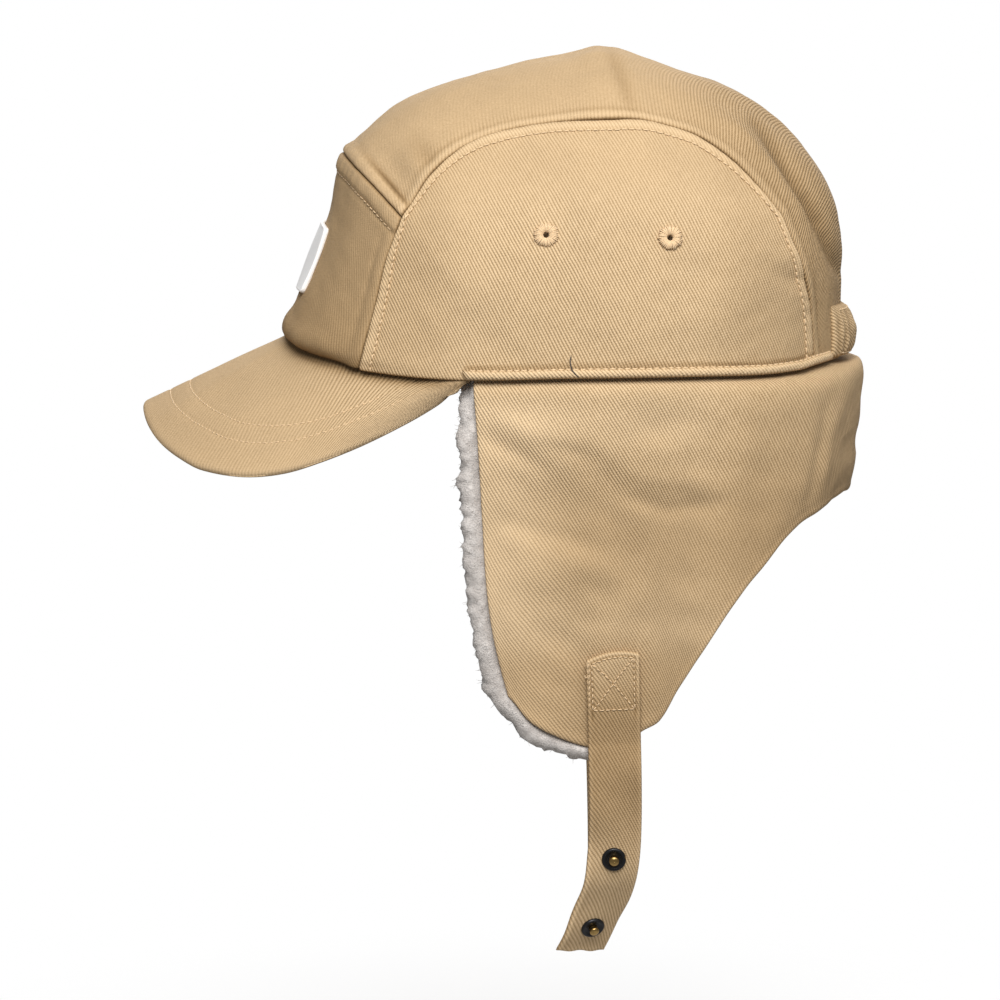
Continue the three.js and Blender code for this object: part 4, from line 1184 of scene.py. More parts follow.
def make_top_panel():
    spacing = grid_step()
    skin = top_panel_skin(shares(130, spacing), shares(270, spacing * 1.15))
    fore, _, one, other = border_distances(skin)
    seam = nearest(one, other)
    run = lengths_along(skin, 0)
    near_side = 0.4 + 0.6 * np.exp(-seam / 26)
    lift = -0.9 * fall(seam, 1.0) - 1.5 * fall(fore, 1.6)
    lift += 0.8 * step(5.0, 4.0, fore) - 1.3 * bump(fore, 5.4, 0.8) * near_side
    lift += 0.5 * step(4.6, 2.6, seam) - 0.2 * bump(seam, SIDE_ROW, 0.9)
    lift += 0.09 * puckers(run, 4.6, 1.9, 0.19) * bump(seam, 2, 3)
    lift += 0.12 * puckers(skin[..., 0], 5.6, 1.5, 0.23) * bump(fore, 3, 4)
    lift += 0.3 * ripple(skin, 32, 31) + 0.06 * ripple(skin, 9, 32)
    folds = fold_height(TOP_FOLDS, skin[..., 1], skin[..., 2]) * step(0, 6, seam)
    lift += folds
    outer, inner = crown_layers(skin, lift)
    # This panel is cut with its warp nearly across the head.
    uv = weave(from_middle(skin), run, 38) * 0.92
    shade = 0.5 * fall(seam, 0.8) + 0.8 * fall(fore, 1.2)
    shade += 0.85 * bump(fore, 5.3, 0.55) * near_side + 0.12 * bump(seam, SIDE_ROW, 0.6)
    shade += 0.11 + 0.14 * step(20, 75, skin[..., 1]) + 0.14 * np.clip(-folds, 0, 2)
    wear_and_painted_light = 0.3 * bump(seam, 2.0, 1.2) + 0.08 * bump(fore, 3.0, 1.6)
    nap = step(72, 10, skin[..., 1]) * (0.5 + 0.38 * step(0, 14, seam))
    make_cloth("twill_top_panel", "top_panel", outer, inner, uv, shade, wear_and_painted_light, nap)


def make_peak():
    spacing = grid_step()
    along = 2 * shares(350, spacing * 1.1) - 1
    out = shares(66, spacing)
    grid_along, grid_out = np.meshgrid(along, out)
    face = peak_face(grid_along, grid_out)
    normal = grid_normals(face, np.array([0, 0, 1.0]))
    inward, edge, one, other = border_distances(face)
    full = rounded(edge, 2.4)
    full = np.minimum(full, 0.35 + 0.65 * rounded(nearest(one, other), 2.0))
    # The stitch rows run farther in from the edge at the sides than in front.
    row = edge - 3.2 * step(0.05, 0.35, np.abs(grid_along))
    dip = 0.3 * (bump(row, PEAK_STITCH_ROWS[0], 0.7) + bump(row, PEAK_STITCH_ROWS[1], 0.7))
    swell = 0.12 * ripple(face, 26, 41) * step(0, 8, inward)
    # The board thins out where the peak's ends go up under the hem.
    thick = PEAK_CLOTH * mix(1, 0.4, step(0.94, 1.0, np.abs(grid_along)))
    middle = face - normal * (thick / 2)[..., None]
    outer = middle + normal * (thick / 2 * full - dip * full + swell)[..., None]
    inner = middle - normal * (thick / 2 * full + swell * 0.3)[..., None]
    # The cloth is pulled tight over the peak, which opens its ribs.
    uv = weave(from_middle(face), inward, -14) * np.array([1, -1]) * 0.8
    near_end = step(0.8, 0.98, np.abs(grid_along))
    shade = (0.45 - 0.33 * near_end) * np.exp(-np.maximum(inward - 3.0, 0) / 1.6)
    shade += 0.07 * step(-60, -95, face[..., 1]) + 0.03 * step(-110, -140, face[..., 1])
    wear_and_painted_light = 0.35 * np.exp(-edge / 1.2)
    surfaces["peak"] = (outer, grid_normals(outer, normal), row)
    nap = 0.62 * step(-72, -108, face[..., 1]) + 0.1 * step(-120, -150, face[..., 1])
    make_cloth("twill_peak", "peak", outer, inner, uv, shade, wear_and_painted_light, nap)


def make_flap():
    spacing = grid_step()
    turns = mix(FLAP_FRONT, 180 - FLAP_FRONT, shares(455, spacing * 1.25))
    downs = np.concatenate([[-FLAP_TUCK / 100, -0.03, -0.01], shares(128, spacing)])
    turn, down = np.meshgrid(turns, downs)
    plain = flap_layer(turn, down, np.zeros_like(down), FLAP_FOLDS + FLAP_DENTS)
    normal = flap_normal(turn, down)
    from_rim, edge, one, other = border_distances(plain)
    border = nearest(edge, one, other)
    soft = step(0.02, 0.2, down)
    # The cloth lies flat where a strap is sewn to it.
    under_strap = np.exp(-(((plain[..., 1] - 14.5) / 15) ** 4)) * step(88, 96, -plain[..., 2])
    lift = (0.35 * ripple(plain, 42, 51) + 0.14 * ripple(plain, 15, 52)) * soft * (1 - 0.9 * under_strap)
    full = 0.15 + 0.85 * rounded(border, 1.3)
    middle = plain - normal * (FLAP_CLOTH / 2)
    roll = 0.3 * bump(border, 2.2, 1.4)
    outer = middle + normal * (FLAP_CLOTH / 2 * full + lift + roll)[..., None]
    inner = middle - normal * (FLAP_CLOTH / 2 * full - lift)[..., None]
    run = lengths_along(plain[3:4], 1)[0]
    uv = np.stack([np.broadcast_to(run, down.shape), -from_rim], axis=-1)
    shade = 0.25 * np.exp(-np.maximum(from_rim - 5, 0) / 0.9) + 0.25 * fall(border, 0.8)
    high = plain[..., 2]
    shade += 0.15 * bump(high, -60, 28) * step(-30, 5, plain[..., 1]) + 0.17 * step(-92, -112, high)
    shade += 0.08 * step(45, 70, plain[..., 1])
    nap = 0.3 * step(-25, -60, high)
    # The flap is paler towards its front, and its upper part is painted lighter, as painted light.
    wear_and_painted_light = 0.3 * bump(border, 0.7, 0.7) + 0.26 * step(12, -28, plain[..., 1]) * step(-4, -12, high)
    wear_and_painted_light += 0.15 * bump(high, -17, 9) * step(55, 35, plain[..., 1])
    piece = make_cloth("twill_flap", "flap_shell", outer, inner, uv, shade, wear_and_painted_light, nap)


def tuft_height(points, seed):
    """Height of the pile's tufts, in millimetres, from cells about 4 mm across."""
    # Noise vectors are drawn from a seed of their own, which is the clock's unless it is set.
    noise.seed_set(1)
    heights = np.zeros(len(points))
    shift = Vector((seed * 3.1, seed * 1.7, seed * 2.3))
    for i, p in enumerate(points):
        place = Vector(p) / 4.2 + shift
        wander = noise.noise_vector(place * 1.7) * 0.35
        distances = noise.voronoi(place + wander)[0]
        heights[i] = 1.1 - 1.6 * distances[0] + 0.5 * noise.noise(place * 3.3)
    return heights


def make_fleece():
    spacing = grid_step()
    fine = (0.4, 1.0, 1.8, 2.8, 4.0)
    turns = mix(FLEECE_FRONT, 180 - FLEECE_FRONT, shares(475, spacing * 1.25, fine))
    part = np.concatenate([[-FLAP_TUCK / 100, -0.02], shares(130, spacing * 1.1, fine)])
    turn, down = np.meshgrid(turns, part)
    half = near_turn(turn)
    length = rim_height(rim_plan(half, 0)[..., 1]) - flap_edge_z(half)
    # The pile stands a little past the CAD's slab along the front, and is drawn in behind the strap.
    reach_below = fleece_below(half) - 0.6 - 3.4 * step(6, 11, half) + 0.4 * step(-10, -20, half)
    below = np.where(down > 0, down * (1 + reach_below / length), down)
    past = (PEAK_CLEARANCE + 1.2) * step(0.09, 0.045, below) * step(FLAP_FRONT - 0.4, FLAP_FRONT - 1.6, half)
    outer = flap_layer(turn, below, FLAP_CLOTH + SEAT_GAP + past, FLAP_FOLDS + FLAP_DENTS)
    inner = flap_face(turn, below, FLAP_INSET + FLAP_CLOTH + FLEECE_THICKNESS, 0.55)
    side = flipped(outward(half), turn > 90)
    inner = inner - side * ((FLAP_CLOTH + FLEECE_THICKNESS) * np.clip(below, 0, 1))[..., None]
    from_rim, edge, one, other = border_distances(outer)
    border = nearest(edge, one, other)
    full = np.maximum(rounded(border, 3.4), 0.12)[..., None]
    middle = (outer + inner) / 2
    reach = (outer - inner) / 2
    outer = middle + reach * full
    inner = middle - reach * full
    normal = grid_normals(outer, side)
    hidden = step(5.0, 2.5, border)
    tufts = tuft_height(outer.reshape(-1, 3), 1).reshape(outer.shape[:2])
    outer = outer + normal * (tufts * hidden * 1.3 - 0.2)[..., None]
    wave = tuft_height((outer + 40).reshape(-1, 3) * 0.6, 3).reshape(outer.shape[:2])
    sideways = unit(np.gradient(outer, axis=1)) * np.where(turn > 90, 1, -1)[..., None]
    fringe = np.exp(-nearest(one, other) / 3.0) * step(0.02, 0.07, below)
    clear = np.maximum(step(0.986, 1.014, below), step(FLAP_FRONT - 0.3, FLAP_FRONT - 1.8, half))
    outer = outer + normal * (2.0 * clear * step(0.12, 0.2, below))[..., None]
    uneven = 0.9 * ripple(outer, 17, 55) + 0.5 * ripple(outer, 6, 56)
    stand = fringe * (wave * 1.5 + 1.5 * bump(below, 0.35, 0.2) + 0.6 * step(0.1, 0.5, below) + uneven)
    # The pile bulges forward again just below the peak's end.
    stand += 2.0 * fringe * bump(below, 0.06, 0.03)
    outer = outer + sideways * stand[..., None]
    inner = inner + sideways * stand[..., None]
    back = grid_normals(inner, -side)
    lumps = tuft_height(inner.reshape(-1, 3), 2).reshape(inner.shape[:2])
    inner = inner + back * (lumps * 1.1)[..., None] * step(-0.04, 0.03, below)[..., None]
    uv = np.stack([lengths_along(outer, 1), from_rim], axis=-1)
    piece = make_cloth("fleece_lining", "flap_lining", outer, inner, uv, cloth="fleece", slot="fleece")
    surfaces["fleece"] = (outer, inner, border, normal, back, below)


def grid_at(grid, rows, columns):
    """Points of a grid at fractional row and column numbers."""
    rows = np.clip(rows, 0, grid.shape[0] - 1.001)
    columns = np.clip(columns, 0, grid.shape[1] - 1.001)
    r = rows.astype(int)
    c = columns.astype(int)
    down = (rows - r)[:, None]
    side = (columns - c)[:, None]
    upper = mix(grid[r, c], grid[r, c + 1], side)
    return mix(upper, mix(grid[r + 1, c], grid[r + 1, c + 1], side), down)


def strap_frames(table, count):
    """Middle line of a strap with its length, width and face directions."""
    z_rows, y_rows, x_rows, twist_rows = columns_of(table[::-1])
    y_at = smooth(z_rows, y_rows)
    x_at = smooth(z_rows, x_rows)
    twist_at = smooth(z_rows, twist_rows)

    def middle(z):
        y = y_at(z)
        turn, down = flap_at(y, np.maximum(z, -136.0))
        seat = flap_layer(turn, down, np.full_like(down, -(SEAT_GAP + 0.25)))
        return np.stack([mix(seat[..., 0], x_at(z), step(128, 158, -z)), y, z], axis=-1)

    z = np.linspace(table[0][0], table[-1][0], count)
    spine = middle(z)
    along = unit(middle(z - 1) - middle(z + 1))
    turn = np.radians(twist_at(z))
    free = step(128, 158, -z)
    seat_z = np.maximum(z, -136.0)
    fore_turn, fore_down = flap_at(y_at(z) + 6, seat_z)
    aft_turn, aft_down = flap_at(y_at(z) - 6, seat_z)
    flat = np.zeros_like(z)
    lean = (flap_layer(fore_turn, fore_down, flat) - flap_layer(aft_turn, aft_down, flat))[..., 0] / 12
    wide = np.stack([mix(lean, -np.sin(turn), free), mix(1, np.cos(turn), free), flat], axis=-1)
    wide = unit(wide - along * np.sum(wide * along, axis=-1, keepdims=True))
    face = unit(np.cross(wide, along))
    face = np.where(face[:, :1] < 0, -face, face)
    return z, spine, wide, face


def make_strap(side_name, table, sign, seed):
    count = 170
    z, spine, wide, face = strap_frames(table, count)
    across = shares(STRAP_WIDTH, 1.0, (0.15, 0.4, 0.8, 1.2, 1.8)) * 2 - 1
    middle = spine[:, None] + wide[:, None] * (across * STRAP_WIDTH / 2)[None, :, None]
    arch = -(1.95 * across**2 - 1.15 * across)
    ends = np.linspace(0, 1, count)
    middle[..., 2] += arch[None] * step(0.2, 0.0, ends)[:, None]
    # The cut end waves a little.
    middle[..., 2] += 0.25 * np.sin(across * 7 + seed)[None] * step(0.93, 1.0, ends)[:, None]
    top, low, one, other = border_distances(middle)
    border = nearest(top, low, one, other)
    full = 0.15 + 0.85 * rounded(border, 0.9)
    free = step(130, 150, -z)[:, None]
    normal = np.broadcast_to(face[:, None], middle.shape)
    wave = free * (0.4 * np.sin(z * 0.27 + seed)[:, None] + 0.35 * ripple(middle, 18, 60 + seed))
    sewn = step(STRAP_SEWN + 4, STRAP_SEWN, top)
    dent = 0.28 * sewn * (bump(border, 1.7, 0.6) + 0.3 * ripple(middle, 7, 70 + seed))
    body = middle + normal * (STRAP_CLOTH / 2 + wave)[..., None]
    swell = 0.25 * bump(border, 1.6, 1.0)
    stands = swell * (1 - sewn) - dent * sewn + 0.35 * free
    outer = body + normal * (STRAP_CLOTH / 2 * full + stands)[..., None]
    inner = body - normal * (STRAP_CLOTH / 2 * full)[..., None]
    uv = np.stack([sign * one, -top], axis=-1) * 1.08
    shade = 0.25 * fall(border, 0.7) + 0.25 * sewn * bump(border, 1.8, 0.5)
    shade += 0.03 + 0.31 * step(190, 150, -z)[:, None] * step(-100, -130, z)[:, None]
    wear_and_painted_light = 0.35 * bump(border, 0.6, 0.6)
    nap = np.full(wear_and_painted_light.shape, 0.22)
    flip = mirror(sign)
    surfaces["strap_" + side_name] = (outer * flip, grid_normals(outer, normal) * flip, top, one, z)
    name = f"strap_{side_name}"
    piece = make_cloth(f"twill_{name}", name, outer * flip, inner * flip, uv, shade, wear_and_painted_light, nap)


def make_binding():
    spacing = grid_step()
    y = np.linspace(BINDING_FRONT_Y, BINDING_JOIN[1], int(116 / spacing))
    x = np.linspace(BINDING_JOIN[0], BAND_HALF_WIDTH + 0.8, int(24 / spacing))
    heights = shares(BINDING_HEIGHT, 0.5, (0.1, 0.28, 0.5, 0.8, 1.1)) * BINDING_HEIGHT
    skin = np.array([np.concatenate([hem_by_y(y, height), hem_by_x(x, height)]) for height in heights])
    run = lengths_along(skin, 1)
    height = np.broadcast_to(heights[:, None], run.shape)
    edge = np.minimum(height, BINDING_HEIGHT - height)
    ends = np.minimum(run, run[:, -1:] - run)
    full = rounded(edge, 1.5) * (0.4 + 0.6 * rounded(ends, 1.4))
    twist = np.sin((run + height * 0.9) * 2 * math.pi / 2.7)
    lift = SEAT_GAP + BINDING_CLOTH * 1.5 * full + 0.12 * twist * full
    # The front end is cut at a slant, where the binding goes under the peak's corner.
    slant = (BINDING_HEIGHT - height) * 0.45 * np.exp(-run / 2.5)
    outer = crown_lift(skin, lift)
    outer[..., 1] += slant
    inner = crown_lift(skin, np.full(run.shape, SEAT_GAP * 0.4))
    inner[..., 1] += slant
    uv = weave(run, height, 12)
    shade = 0.5 * fall(edge, 0.6)
    wear_and_painted_light = 0.4 * full * (0.6 + 0.4 * twist)
    stitched = crown_lift(skin[-1], np.full(run[-1].shape, SEAT_GAP + 0.25))
    surfaces["binding"] = (stitched, crown_normal(skin[-1]))
    for side_name, sign in SIDES:
        flip = mirror(sign)
        name = f"twill_binding_{side_name}"
        node = f"rim_binding_{side_name}"
        make_cloth(name, node, outer * flip, inner * flip, uv * np.array([sign, 1]), shade, wear_and_painted_light)


def make_band():
    heights = shares(BAND_HIGH - BAND_LOW, 0.9)
    x = (shares(2 * BAND_HALF_WIDTH, 0.9) * 2 - 1) * BAND_HALF_WIDTH
    levels = mix(BAND_LOW, BAND_HIGH, heights) - rim_height(103.0)
    skin = np.array([hem_by_x(x, level) for level in levels])
    v = np.broadcast_to(heights[:, None], skin.shape[:2])
    share = np.broadcast_to(np.abs(x) / BAND_HALF_WIDTH, skin.shape[:2])
    low_set = 2 * v**0.75 - 1
    swell = np.maximum(1 - low_set**2 * 0.96, 0) ** 0.68 * (1 - 0.9 * share**6)
    low, high, one, other = border_distances(skin)
    # Elastic inside gathers the casing into short upright puckers.
    gather = np.sin(x * 1.12 + 1.6 * np.sin(x * 0.37))[None] * np.sin(math.pi * v) ** 0.6
    gather = gather + 0.5 * ripple(skin, 7, 81) * np.sin(math.pi * v)
    border = nearest(low, high, one, other)
    stand = 0.35 + (BAND_SWELL - 0.5) * swell + 0.5 * gather * (1 - share**8)
    full = 0.1 + 0.9 * rounded(border, 1.2) * (0.4 + 0.6 * rounded(high, 4.0))
    outer = crown_lift(skin, SEAT_GAP + stand * full)
    inner = crown_lift(skin, np.full(v.shape, SEAT_GAP))
    run = lengths_along(skin, 1)
    uv = weave(run.mean() - run, low, 33)
    shade = 0.55 * fall(border, 1.0) + 0.14 * np.clip(-gather, 0, 1) + 0.08
    wear_and_painted_light = 0.15 * np.clip(gather, 0, 1)
    surfaces["band"] = (outer, grid_normals(outer, crown_normal(skin)), high, low)
    piece = make_cloth("twill_back_band", "back_band", outer, inner, uv, shade, wear_and_painted_light)


def make_label():
    fine = (0.12, 0.3, 0.6, 1.0, 1.6)
    heights = shares(LABEL_HIGH - LABEL_LOW, 1.0, fine)
    across = shares(LABEL_WIDTH, 1.0, fine) * 2 - 1
    v, t = np.meshgrid(heights, across, indexing="ij")
    height = mix(LABEL_LOW, LABEL_HIGH, v)
    from_end = np.minimum(v, 1 - v) * (LABEL_HIGH - LABEL_LOW)
    corner = np.maximum(LABEL_CORNER - from_end, 0)
    half = LABEL_WIDTH / 2 - LABEL_CORNER + np.sqrt(LABEL_CORNER**2 - corner**2)
    x = half * t
    skin = crown_at(x / CROWN_HALF_WIDTH, np.degrees(np.arctan2(height - CORE_Z, 97)))
    side = np.minimum(half - np.abs(x), from_end)
    full = 0.25 + 0.75 * rounded(side, 0.5)
    # The label follows the cloth under it, and its edge stands up a little.
    lift = SEAT_GAP + 0.35 + 0.3 * ripple(skin, 30, 21)
    edge = 0.7 * step(1.0, 0.7, side)
    outer = crown_lift(skin, lift + LABEL_CLOTH * full + 0.12 * edge)
    inner = crown_lift(skin, np.full(v.shape, SEAT_GAP * 0.3))
    uv = np.stack([x, height], axis=-1)
    named = {"cloth": "label", "slot": "label_weave"}
    piece = make_cloth("woven_label", "label", outer, inner, uv, wear_and_painted_light=edge, **named)


def turned(outline, place, axis, segments):
    """Points and faces of a shape turned about an axis, from a closed outline of radius and height."""
    aside = unit(np.cross(axis, np.array([0.21, 0.63, 0.74])))
    other = np.cross(axis, aside)
    turn = np.arange(segments) * 2 * math.pi / segments
    ring = np.cos(turn)[:, None] * aside + np.sin(turn)[:, None] * other
    outline = np.array(outline, float)
    points = place + ring[None] * outline[:, 0][:, None, None] + axis * outline[:, 1][:, None, None]
    index = np.arange(len(outline) * segments).reshape(len(outline), segments)
    below = np.roll(index, -1, axis=0)
    ahead = np.roll(index, -1, axis=1)
    both = np.roll(below, -1, axis=1)
    faces = np.stack([index, ahead, both, below], axis=-1).reshape(-1, 4)
    return points.reshape(-1, 3), faces


def round_outline(corners, radius, steps=4):
    """An outline with its corners rounded by a small radius."""
    corners = np.array(corners, float)
    made_points = []
    for i, corner in enumerate(corners):
        before = corners[i - 1]
        after = corners[(i + 1) % len(corners)]
        cut = min(radius, np.linalg.norm(before - corner) * 0.45, np.linalg.norm(after - corner) * 0.45)
        start = corner + unit(before - corner) * cut
        end = corner + unit(after - corner) * cut
        for t in np.linspace(0, 1, steps):
            made_points.append(mix(mix(start, corner, t), mix(corner, end, t), t))
    return made_points


def make_eyelets():
    random = np.random.default_rng(91)
    for name, y, z in EYELET_PLACES:
        skin = crown_by_side(np.array(y), np.array(z))
        axis = crown_normal(skin)
        place = crown_lift(skin, np.array(0.0)) + axis * 0.1
        corners = ((EYELET_HOLE + 0.15, -1.2), (4.1, -0.6), (4.0, 0.35), (2.4, 0.8), (1.3, 0.55))
        aside = unit(np.cross(axis, np.array([0.0, 0.0, 1.0])))
        other = np.cross(axis, aside)
        thread = Thread()
        # The ring under the stitches takes the darker thread: painted shade between the stitches.
        points, faces = turned(round_outline(corners, 0.5), place, axis, 40)
        thread.add(points, facing_out(points - place, faces).tolist(), 1)
        for i in range(EYELET_STITCHES):
            turn = (i + random.uniform(-0.18, 0.18)) * 2 * math.pi / EYELET_STITCHES
            ray = math.cos(turn) * aside + math.sin(turn) * other
            reach = random.uniform(4.1, 4.75)
            radii = np.array([EYELET_HOLE + 0.1, EYELET_HOLE + 0.35, 2.0, 3.1, reach - 0.3, reach])
            rise = np.array([-0.5, 0.45, 0.95, 0.9, 0.45, -0.15])
            path = place + ray * radii[:, None] + axis * rise[:, None]
            width = np.array([0.1, 0.13, 0.2, 0.27, 0.3, 0.18])
            thread.tube(path, np.repeat(axis[None], 6, axis=0), width)
        materials = [material_for("thread"), material_for("thread_in_painted_shade")]
        for side_name, sign in SIDES:
            points = np.concatenate(thread.points) * mirror(sign)
            faces = thread.faces if sign > 0 else [face[::-1] for face in thread.faces]
            node = f"eyelet_{side_name}_{name}"
            piece = make_piece(f"thread_{node}", points, faces, materials, "thread", kinds=thread.kinds)
            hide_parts(node)


def strap_place(side_name, z):
    """Place and outward direction at the middle of a strap's face at a height."""
    outer, normal, _, _, heights = surfaces["strap_" + side_name]
    row = np.interp(-z, -heights, np.arange(len(heights)))
    middle = (outer.shape[1] - 1) / 2
    place = grid_at(outer, np.array([row]), np.array([middle]))[0]
    return place, unit(grid_at(normal, np.array([row]), np.array([middle]))[0])


def make_snaps():
    outlines = (SNAP_RING, SNAP_POST, SNAP_SOCKET)
    dish, stud, catch = [round_outline(corners, SNAP_ROUNDING) for corners in outlines]
    for name, z in SNAP_HEIGHTS:
        place, axis = strap_place("left", z)
        far_place, far_axis = strap_place("right", z)
        inside = far_place - far_axis * (STRAP_CLOTH + SEAT_GAP)
        parts = (
            ("ring", dish, place, axis, "snap", "black"),
            ("post", stud, place + axis * 0.05, axis, "brass", "brass"),
            ("socket", catch, inside, -far_axis, "snap", "black"),
        )
        for kind, outline, at, direction, material, finish in parts:
            points, faces = turned(outline, at, direction, 56)
            faces = facing_out(points - at, faces).tolist()
            node = f"snap_{kind}_{name}"
            piece = make_piece(f"{node}_{finish}", points, faces, [material_for(material)], f"snap_{finish}")
            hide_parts(node)


def sew_both(thread, points, normals, **how):
    """The same row on the left half and on the right."""
    for _, sign in SIDES:
        sew(thread, points * mirror(sign), normals * mirror(sign), **how)


def make_stitches():
    sizes = bpy.context.scene.cap_sizes
    random = np.random.default_rng(5)
    how = {"stitch": sizes.stitch, "width": sizes.thread_width, "random": random}
    finer = {**how, "width": sizes.thread_width * 0.75}
    materials = ("thread", "hole")

    crown = Thread()
    outer, normal, high, fore, aft = surfaces["side"]
    seam = nearest(high, fore, aft).ravel()
    # One row runs up the front seam, over the arch and down the rear seam, a set distance inside the panel.
    turned_grids = (np.swapaxes(outer, 0, 1), np.swapaxes(normal, 0, 1))
    for grids, away in ((turned_grids, fore.T), ((outer, normal), high), (turned_grids, aft.T)):
        line, ups = line_at(*grids, away, SIDE_ROW)
        places = [np.argmin(np.linalg.norm(outer.reshape(-1, 3) - p, axis=1)) for p in line]
        inside = seam[places] > SIDE_ROW - 0.75
        sew_both(crown, line[inside] + ups[inside] * 0.05, ups[inside], **how)
    line, ups = line_at(*surfaces["front"], CREST_ROW)
    sew(crown, line[5:-5], ups[5:-5], **finer)
    crown.piece("thread_crown_stitches", materials)

    peak = Thread()
    for distance in PEAK_STITCH_ROWS:
        line, ups = line_at(*surfaces["peak"], distance)
        sew(peak, line[12:-12] - ups[12:-12] * 0.13, ups[12:-12], **finer)
    peak.piece("thread_peak_stitches", materials)

    trim = Thread()
    line, ups = surfaces["binding"]
    sew_both(trim, line[2:], ups[2:], **how)
    outer, normal, high, low = surfaces["band"]
    for border in (high, low):
        line, ups = line_at(outer, normal, border, BAND_ROW)
        sew(trim, line[9:-9] - ups[9:-9] * 0.05, ups[9:-9], **finer)
    trim.piece("thread_trim_stitches", materials)

    straps = Thread()
    how = {"stitch": 2.1, "width": sizes.thread_width * 0.7, "random": random}
    near = STRAP_ROW
    far = STRAP_WIDTH - STRAP_ROW
    high = 2.2
    low = STRAP_SEWN
    paths = (
        ((near, high), (far, high), (far, low), (near, low), (near, high)),
        ((near, high), (far, low)),
        ((far, high), (near, low)),
        ((0.9, 1.0), (0.9, low - 1)),
    )
    for side_name, _ in SIDES:
        outer, normal, top, one, _ = surfaces["strap_" + side_name]
        down_at = top[:, top.shape[1] // 2]
        wide_at = one[len(one) // 8]
        for corners in paths:
            for start, end in zip(corners[:-1], corners[1:]):
                t = np.linspace(0, 1, 24)
                columns = np.interp(mix(start[0], end[0], t), wide_at, np.arange(len(wide_at)))
                rows_at = np.interp(mix(start[1], end[1], t), down_at, np.arange(len(down_at)))
                line = grid_at(outer, rows_at, columns)
                ups = unit(grid_at(normal, rows_at, columns))
                sew(straps, line + ups * 0.04, ups, **how)
    straps.piece("thread_strap_stitches", materials)


def make_loose_ends():
    """A dark thread end on the binding, and a short pale end at the left strap's edge."""
    dark = Thread()
    y, z, out = columns_of(DARK_END)
    skin = crown_by_side(y, z)
    dark.tube(crown_lift(skin, out), crown_normal(skin), [0.1, 0.2, 0.22, 0.22, 0.2, 0.1])
    dark.piece("thread_loose_dark", ["loose"])
    pale = Thread()
    outer, normal = surfaces["strap_left"][:2]
    bend = np.array([[0, 0, 0], [0.1, -0.5, 0.2], [0.4, -0.8, 0.6], [0.6, -0.7, 1.1]])
    ups = np.repeat(normal[10, 1][None], 4, axis=0)
    pale.tube(outer[10, 1] + bend, ups, [0.22, 0.25, 0.22, 0.12])
    pale.piece("thread_loose_pale", ["thread"])


def make_fibres():
    random = np.random.default_rng(17)
    outer, inner, border, normal, back, below = surfaces["fleece"]
    thread = Thread()
    count = bpy.context.scene.cap_sizes.fibres // 3
    # A third stand on each face of the pile's seen border, and a third all over its inner face.
    seen = np.argwhere((border < 8) & (below > 0.02))
    all_over = np.argwhere(below > 0.05)
    facing = np.array([[0.3, 0.2, 0.93]] * 4)
    for group, points, ups in ((seen, outer, normal), (seen, inner, back), (all_over, inner, back)):
        chosen = group[random.integers(0, len(group), count)]
        for r, c in chosen:
            up = unit(ups[r, c] + random.normal(scale=0.75, size=3))
            bend = unit(random.normal(size=3))
            length = random.uniform(0.7, 1.9)
            start = points[r, c] - ups[r, c] * 0.3
            t = np.array([0, 0.35, 0.7, 1.0])[:, None]
            path = start + up * length * t + bend * length * 0.45 * t**2
            thread.tube(path, facing, [0.1, 0.09, 0.07, 0.03], sides=3)
    thread.piece("fleece_fibres", ["fibre"], "fleece")


def look_at(thing, place, aim):
    thing.location = place
    thing.rotation_euler = (aim - Vector(place)).to_track_quat("-Z", "Y").to_euler()


class MakeStage(bpy.types.Operator):
    """Builds the floor, the lights, the sky and the camera."""

    bl_idname = "earflap_cap.make_stage"
    bl_label = "Stage"

    def execute(self, context):
        scene = context.scene
        floor_mesh = bpy.data.meshes.new("stage_floor")
        turn = np.linspace(0, 2 * math.pi, 64, endpoint=False)
        rim = np.stack([np.cos(turn), np.sin(turn), np.full(64, FLOOR_HEIGHT * MM)], axis=1)
        floor_mesh.from_pydata(rim.tolist(), [], [list(range(64))])
        floor_mesh.materials.append(floor_material(scene.cap_colours.floor))
        put_in_scene("stage_floor", floor_mesh)
        aim = Vector(VIEW_MIDDLE) * MM
        for name, place, size, power in LAMPS:
            light = bpy.data.lights.new(f"light_{name}", "AREA")
            light.shape = "DISK"
            light.size = size
            light.energy = power
            look_at(put_in_scene(f"light_{name}", light), place, aim)
        world = bpy.data.worlds.new("Studio")
        world.use_nodes = True
        world.node_tree.nodes.clear()
        # The sky looks white to the eye, and lights the cap less than that.
        tree = world.node_tree
        seen = add_node(tree, "ShaderNodeLightPath").outputs["Is Camera Ray"]
        reach = {"Value": seen, "To Min": SKY_LIGHT, "To Max": 1.0}
        level = add_node(tree, "ShaderNodeMapRange", inputs=reach).outputs[0]
        white = {"Color": (1, 1, 1, 1), "Strength": level}
        sky = add_node(tree, "ShaderNodeBackground", inputs=white).outputs[0]
        add_node(tree, "ShaderNodeOutputWorld", inputs={"Surface": sky})
        scene.world = world
        scene.view_settings.view_transform = "Standard"
        camera_data = bpy.data.cameras.new("camera")
        camera_data.sensor_width = SENSOR
        camera_data.lens = SENSOR * VIEW_DISTANCE / VIEW_WIDTH
        camera_data.clip_end = 100
        lift = math.radians(VIEW_HEIGHT_ANGLE)
        ray = Vector((math.cos(lift), 0, math.sin(lift))) * scene.cap_sizes.view_distance
        scene.camera = put_in_scene("camera", camera_data)
        look_at(scene.camera, aim + ray, aim)
        return {"FINISHED"}


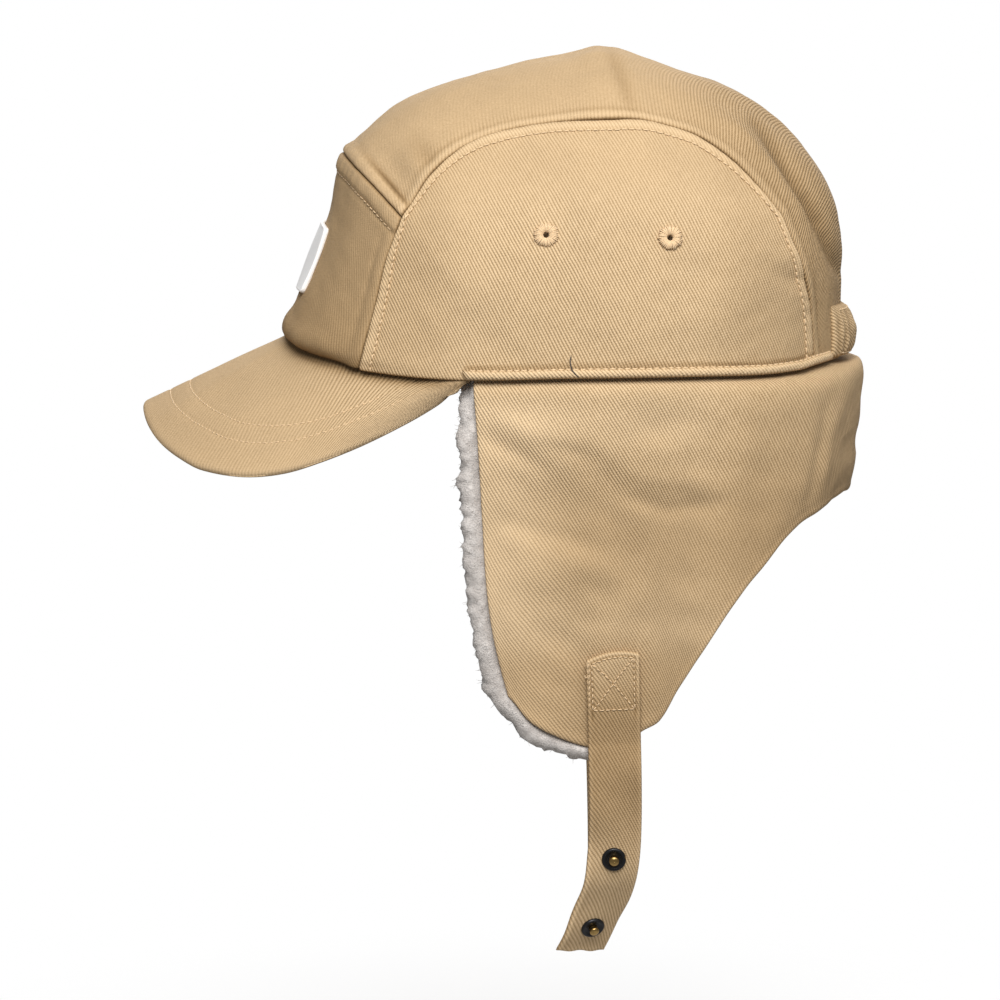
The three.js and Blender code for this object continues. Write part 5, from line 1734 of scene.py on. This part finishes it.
class MakeCrown(bpy.types.Operator):
    """Builds the front, top and side panels of the crown."""

    bl_idname = "earflap_cap.make_crown"
    bl_label = "Crown panels"

    def execute(self, context):
        make_side_panels()
        make_front_panel()
        make_top_panel()
        return {"FINISHED"}


class MakePeak(bpy.types.Operator):
    """Builds the curved peak."""

    bl_idname = "earflap_cap.make_peak"
    bl_label = "Peak"

    def execute(self, context):
        make_peak()
        return {"FINISHED"}


class MakeFlap(bpy.types.Operator):
    """Builds the flap's cloth and its fleece lining."""

    bl_idname = "earflap_cap.make_flap"
    bl_label = "Flap and lining"

    def execute(self, context):
        make_flap()
        make_fleece()
        return {"FINISHED"}


class MakeStraps(bpy.types.Operator):
    """Builds the two snap straps."""

    bl_idname = "earflap_cap.make_straps"
    bl_label = "Straps"

    def execute(self, context):
        make_strap("left", STRAP_LEFT, 1, 2)
        make_strap("right", STRAP_RIGHT, -1, 5)
        return {"FINISHED"}


class MakeTrim(bpy.types.Operator):
    """Builds the rim binding, the elastic casing at the back and the bare label."""

    bl_idname = "earflap_cap.make_trim"
    bl_label = "Binding, back band and label"

    def execute(self, context):
        make_binding()
        make_band()
        make_label()
        return {"FINISHED"}


class MakeHardware(bpy.types.Operator):
    """Builds the thread-wound eyelets and the snaps."""

    bl_idname = "earflap_cap.make_hardware"
    bl_label = "Eyelets and snaps"

    def execute(self, context):
        make_eyelets()
        make_snaps()
        return {"FINISHED"}


class MakeStitches(bpy.types.Operator):
    """Sews the rows of stitches and leaves the loose thread ends."""

    bl_idname = "earflap_cap.make_stitches"
    bl_label = "Stitches and thread ends"

    def execute(self, context):
        make_stitches()
        make_loose_ends()
        return {"FINISHED"}


class MakeFibres(bpy.types.Operator):
    """Adds loose fibres to the fleece."""

    bl_idname = "earflap_cap.make_fibres"
    bl_label = "Pile fibres"

    def execute(self, context):
        make_fibres()
        return {"FINISHED"}


OPERATORS = (
    MakeStage,
    MakeCrown,
    MakePeak,
    MakeFlap,
    MakeStraps,
    MakeTrim,
    MakeHardware,
    MakeStitches,
    MakeFibres,
)


class CapPanel(bpy.types.Panel):
    """Lists the cap's settings and the steps that build it."""

    bl_idname = "VIEW3D_PT_earflap_cap"
    bl_label = "Earflap cap"
    bl_space_type = "VIEW_3D"
    bl_region_type = "UI"
    bl_category = "Earflap cap"

    def draw(self, context):
        layout = self.layout
        for group in (context.scene.cap_sizes, context.scene.cap_colours):
            for name in group.bl_rna.properties.keys():
                if name not in ("rna_type", "name"):
                    layout.prop(group, name)
        for operator in OPERATORS:
            layout.operator(operator.bl_idname)


CLASSES = (CapColours, CapSizes, *OPERATORS, CapPanel)


def register():
    for cls in CLASSES:
        bpy.utils.register_class(cls)
    bpy.types.Scene.cap_colours = bpy.props.PointerProperty(type=CapColours)
    bpy.types.Scene.cap_sizes = bpy.props.PointerProperty(type=CapSizes)


def unregister():
    del bpy.types.Scene.cap_sizes
    del bpy.types.Scene.cap_colours
    for cls in reversed(CLASSES):
        bpy.utils.unregister_class(cls)


def plain(box):
    return [[float(value) for value in corner] for corner in box]


def main():
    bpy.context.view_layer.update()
    register()
    for operator in OPERATORS:
        group, name = operator.bl_idname.split(".")
        getattr(getattr(bpy.ops, group), name)()


if __name__ == "__main__":
    main()
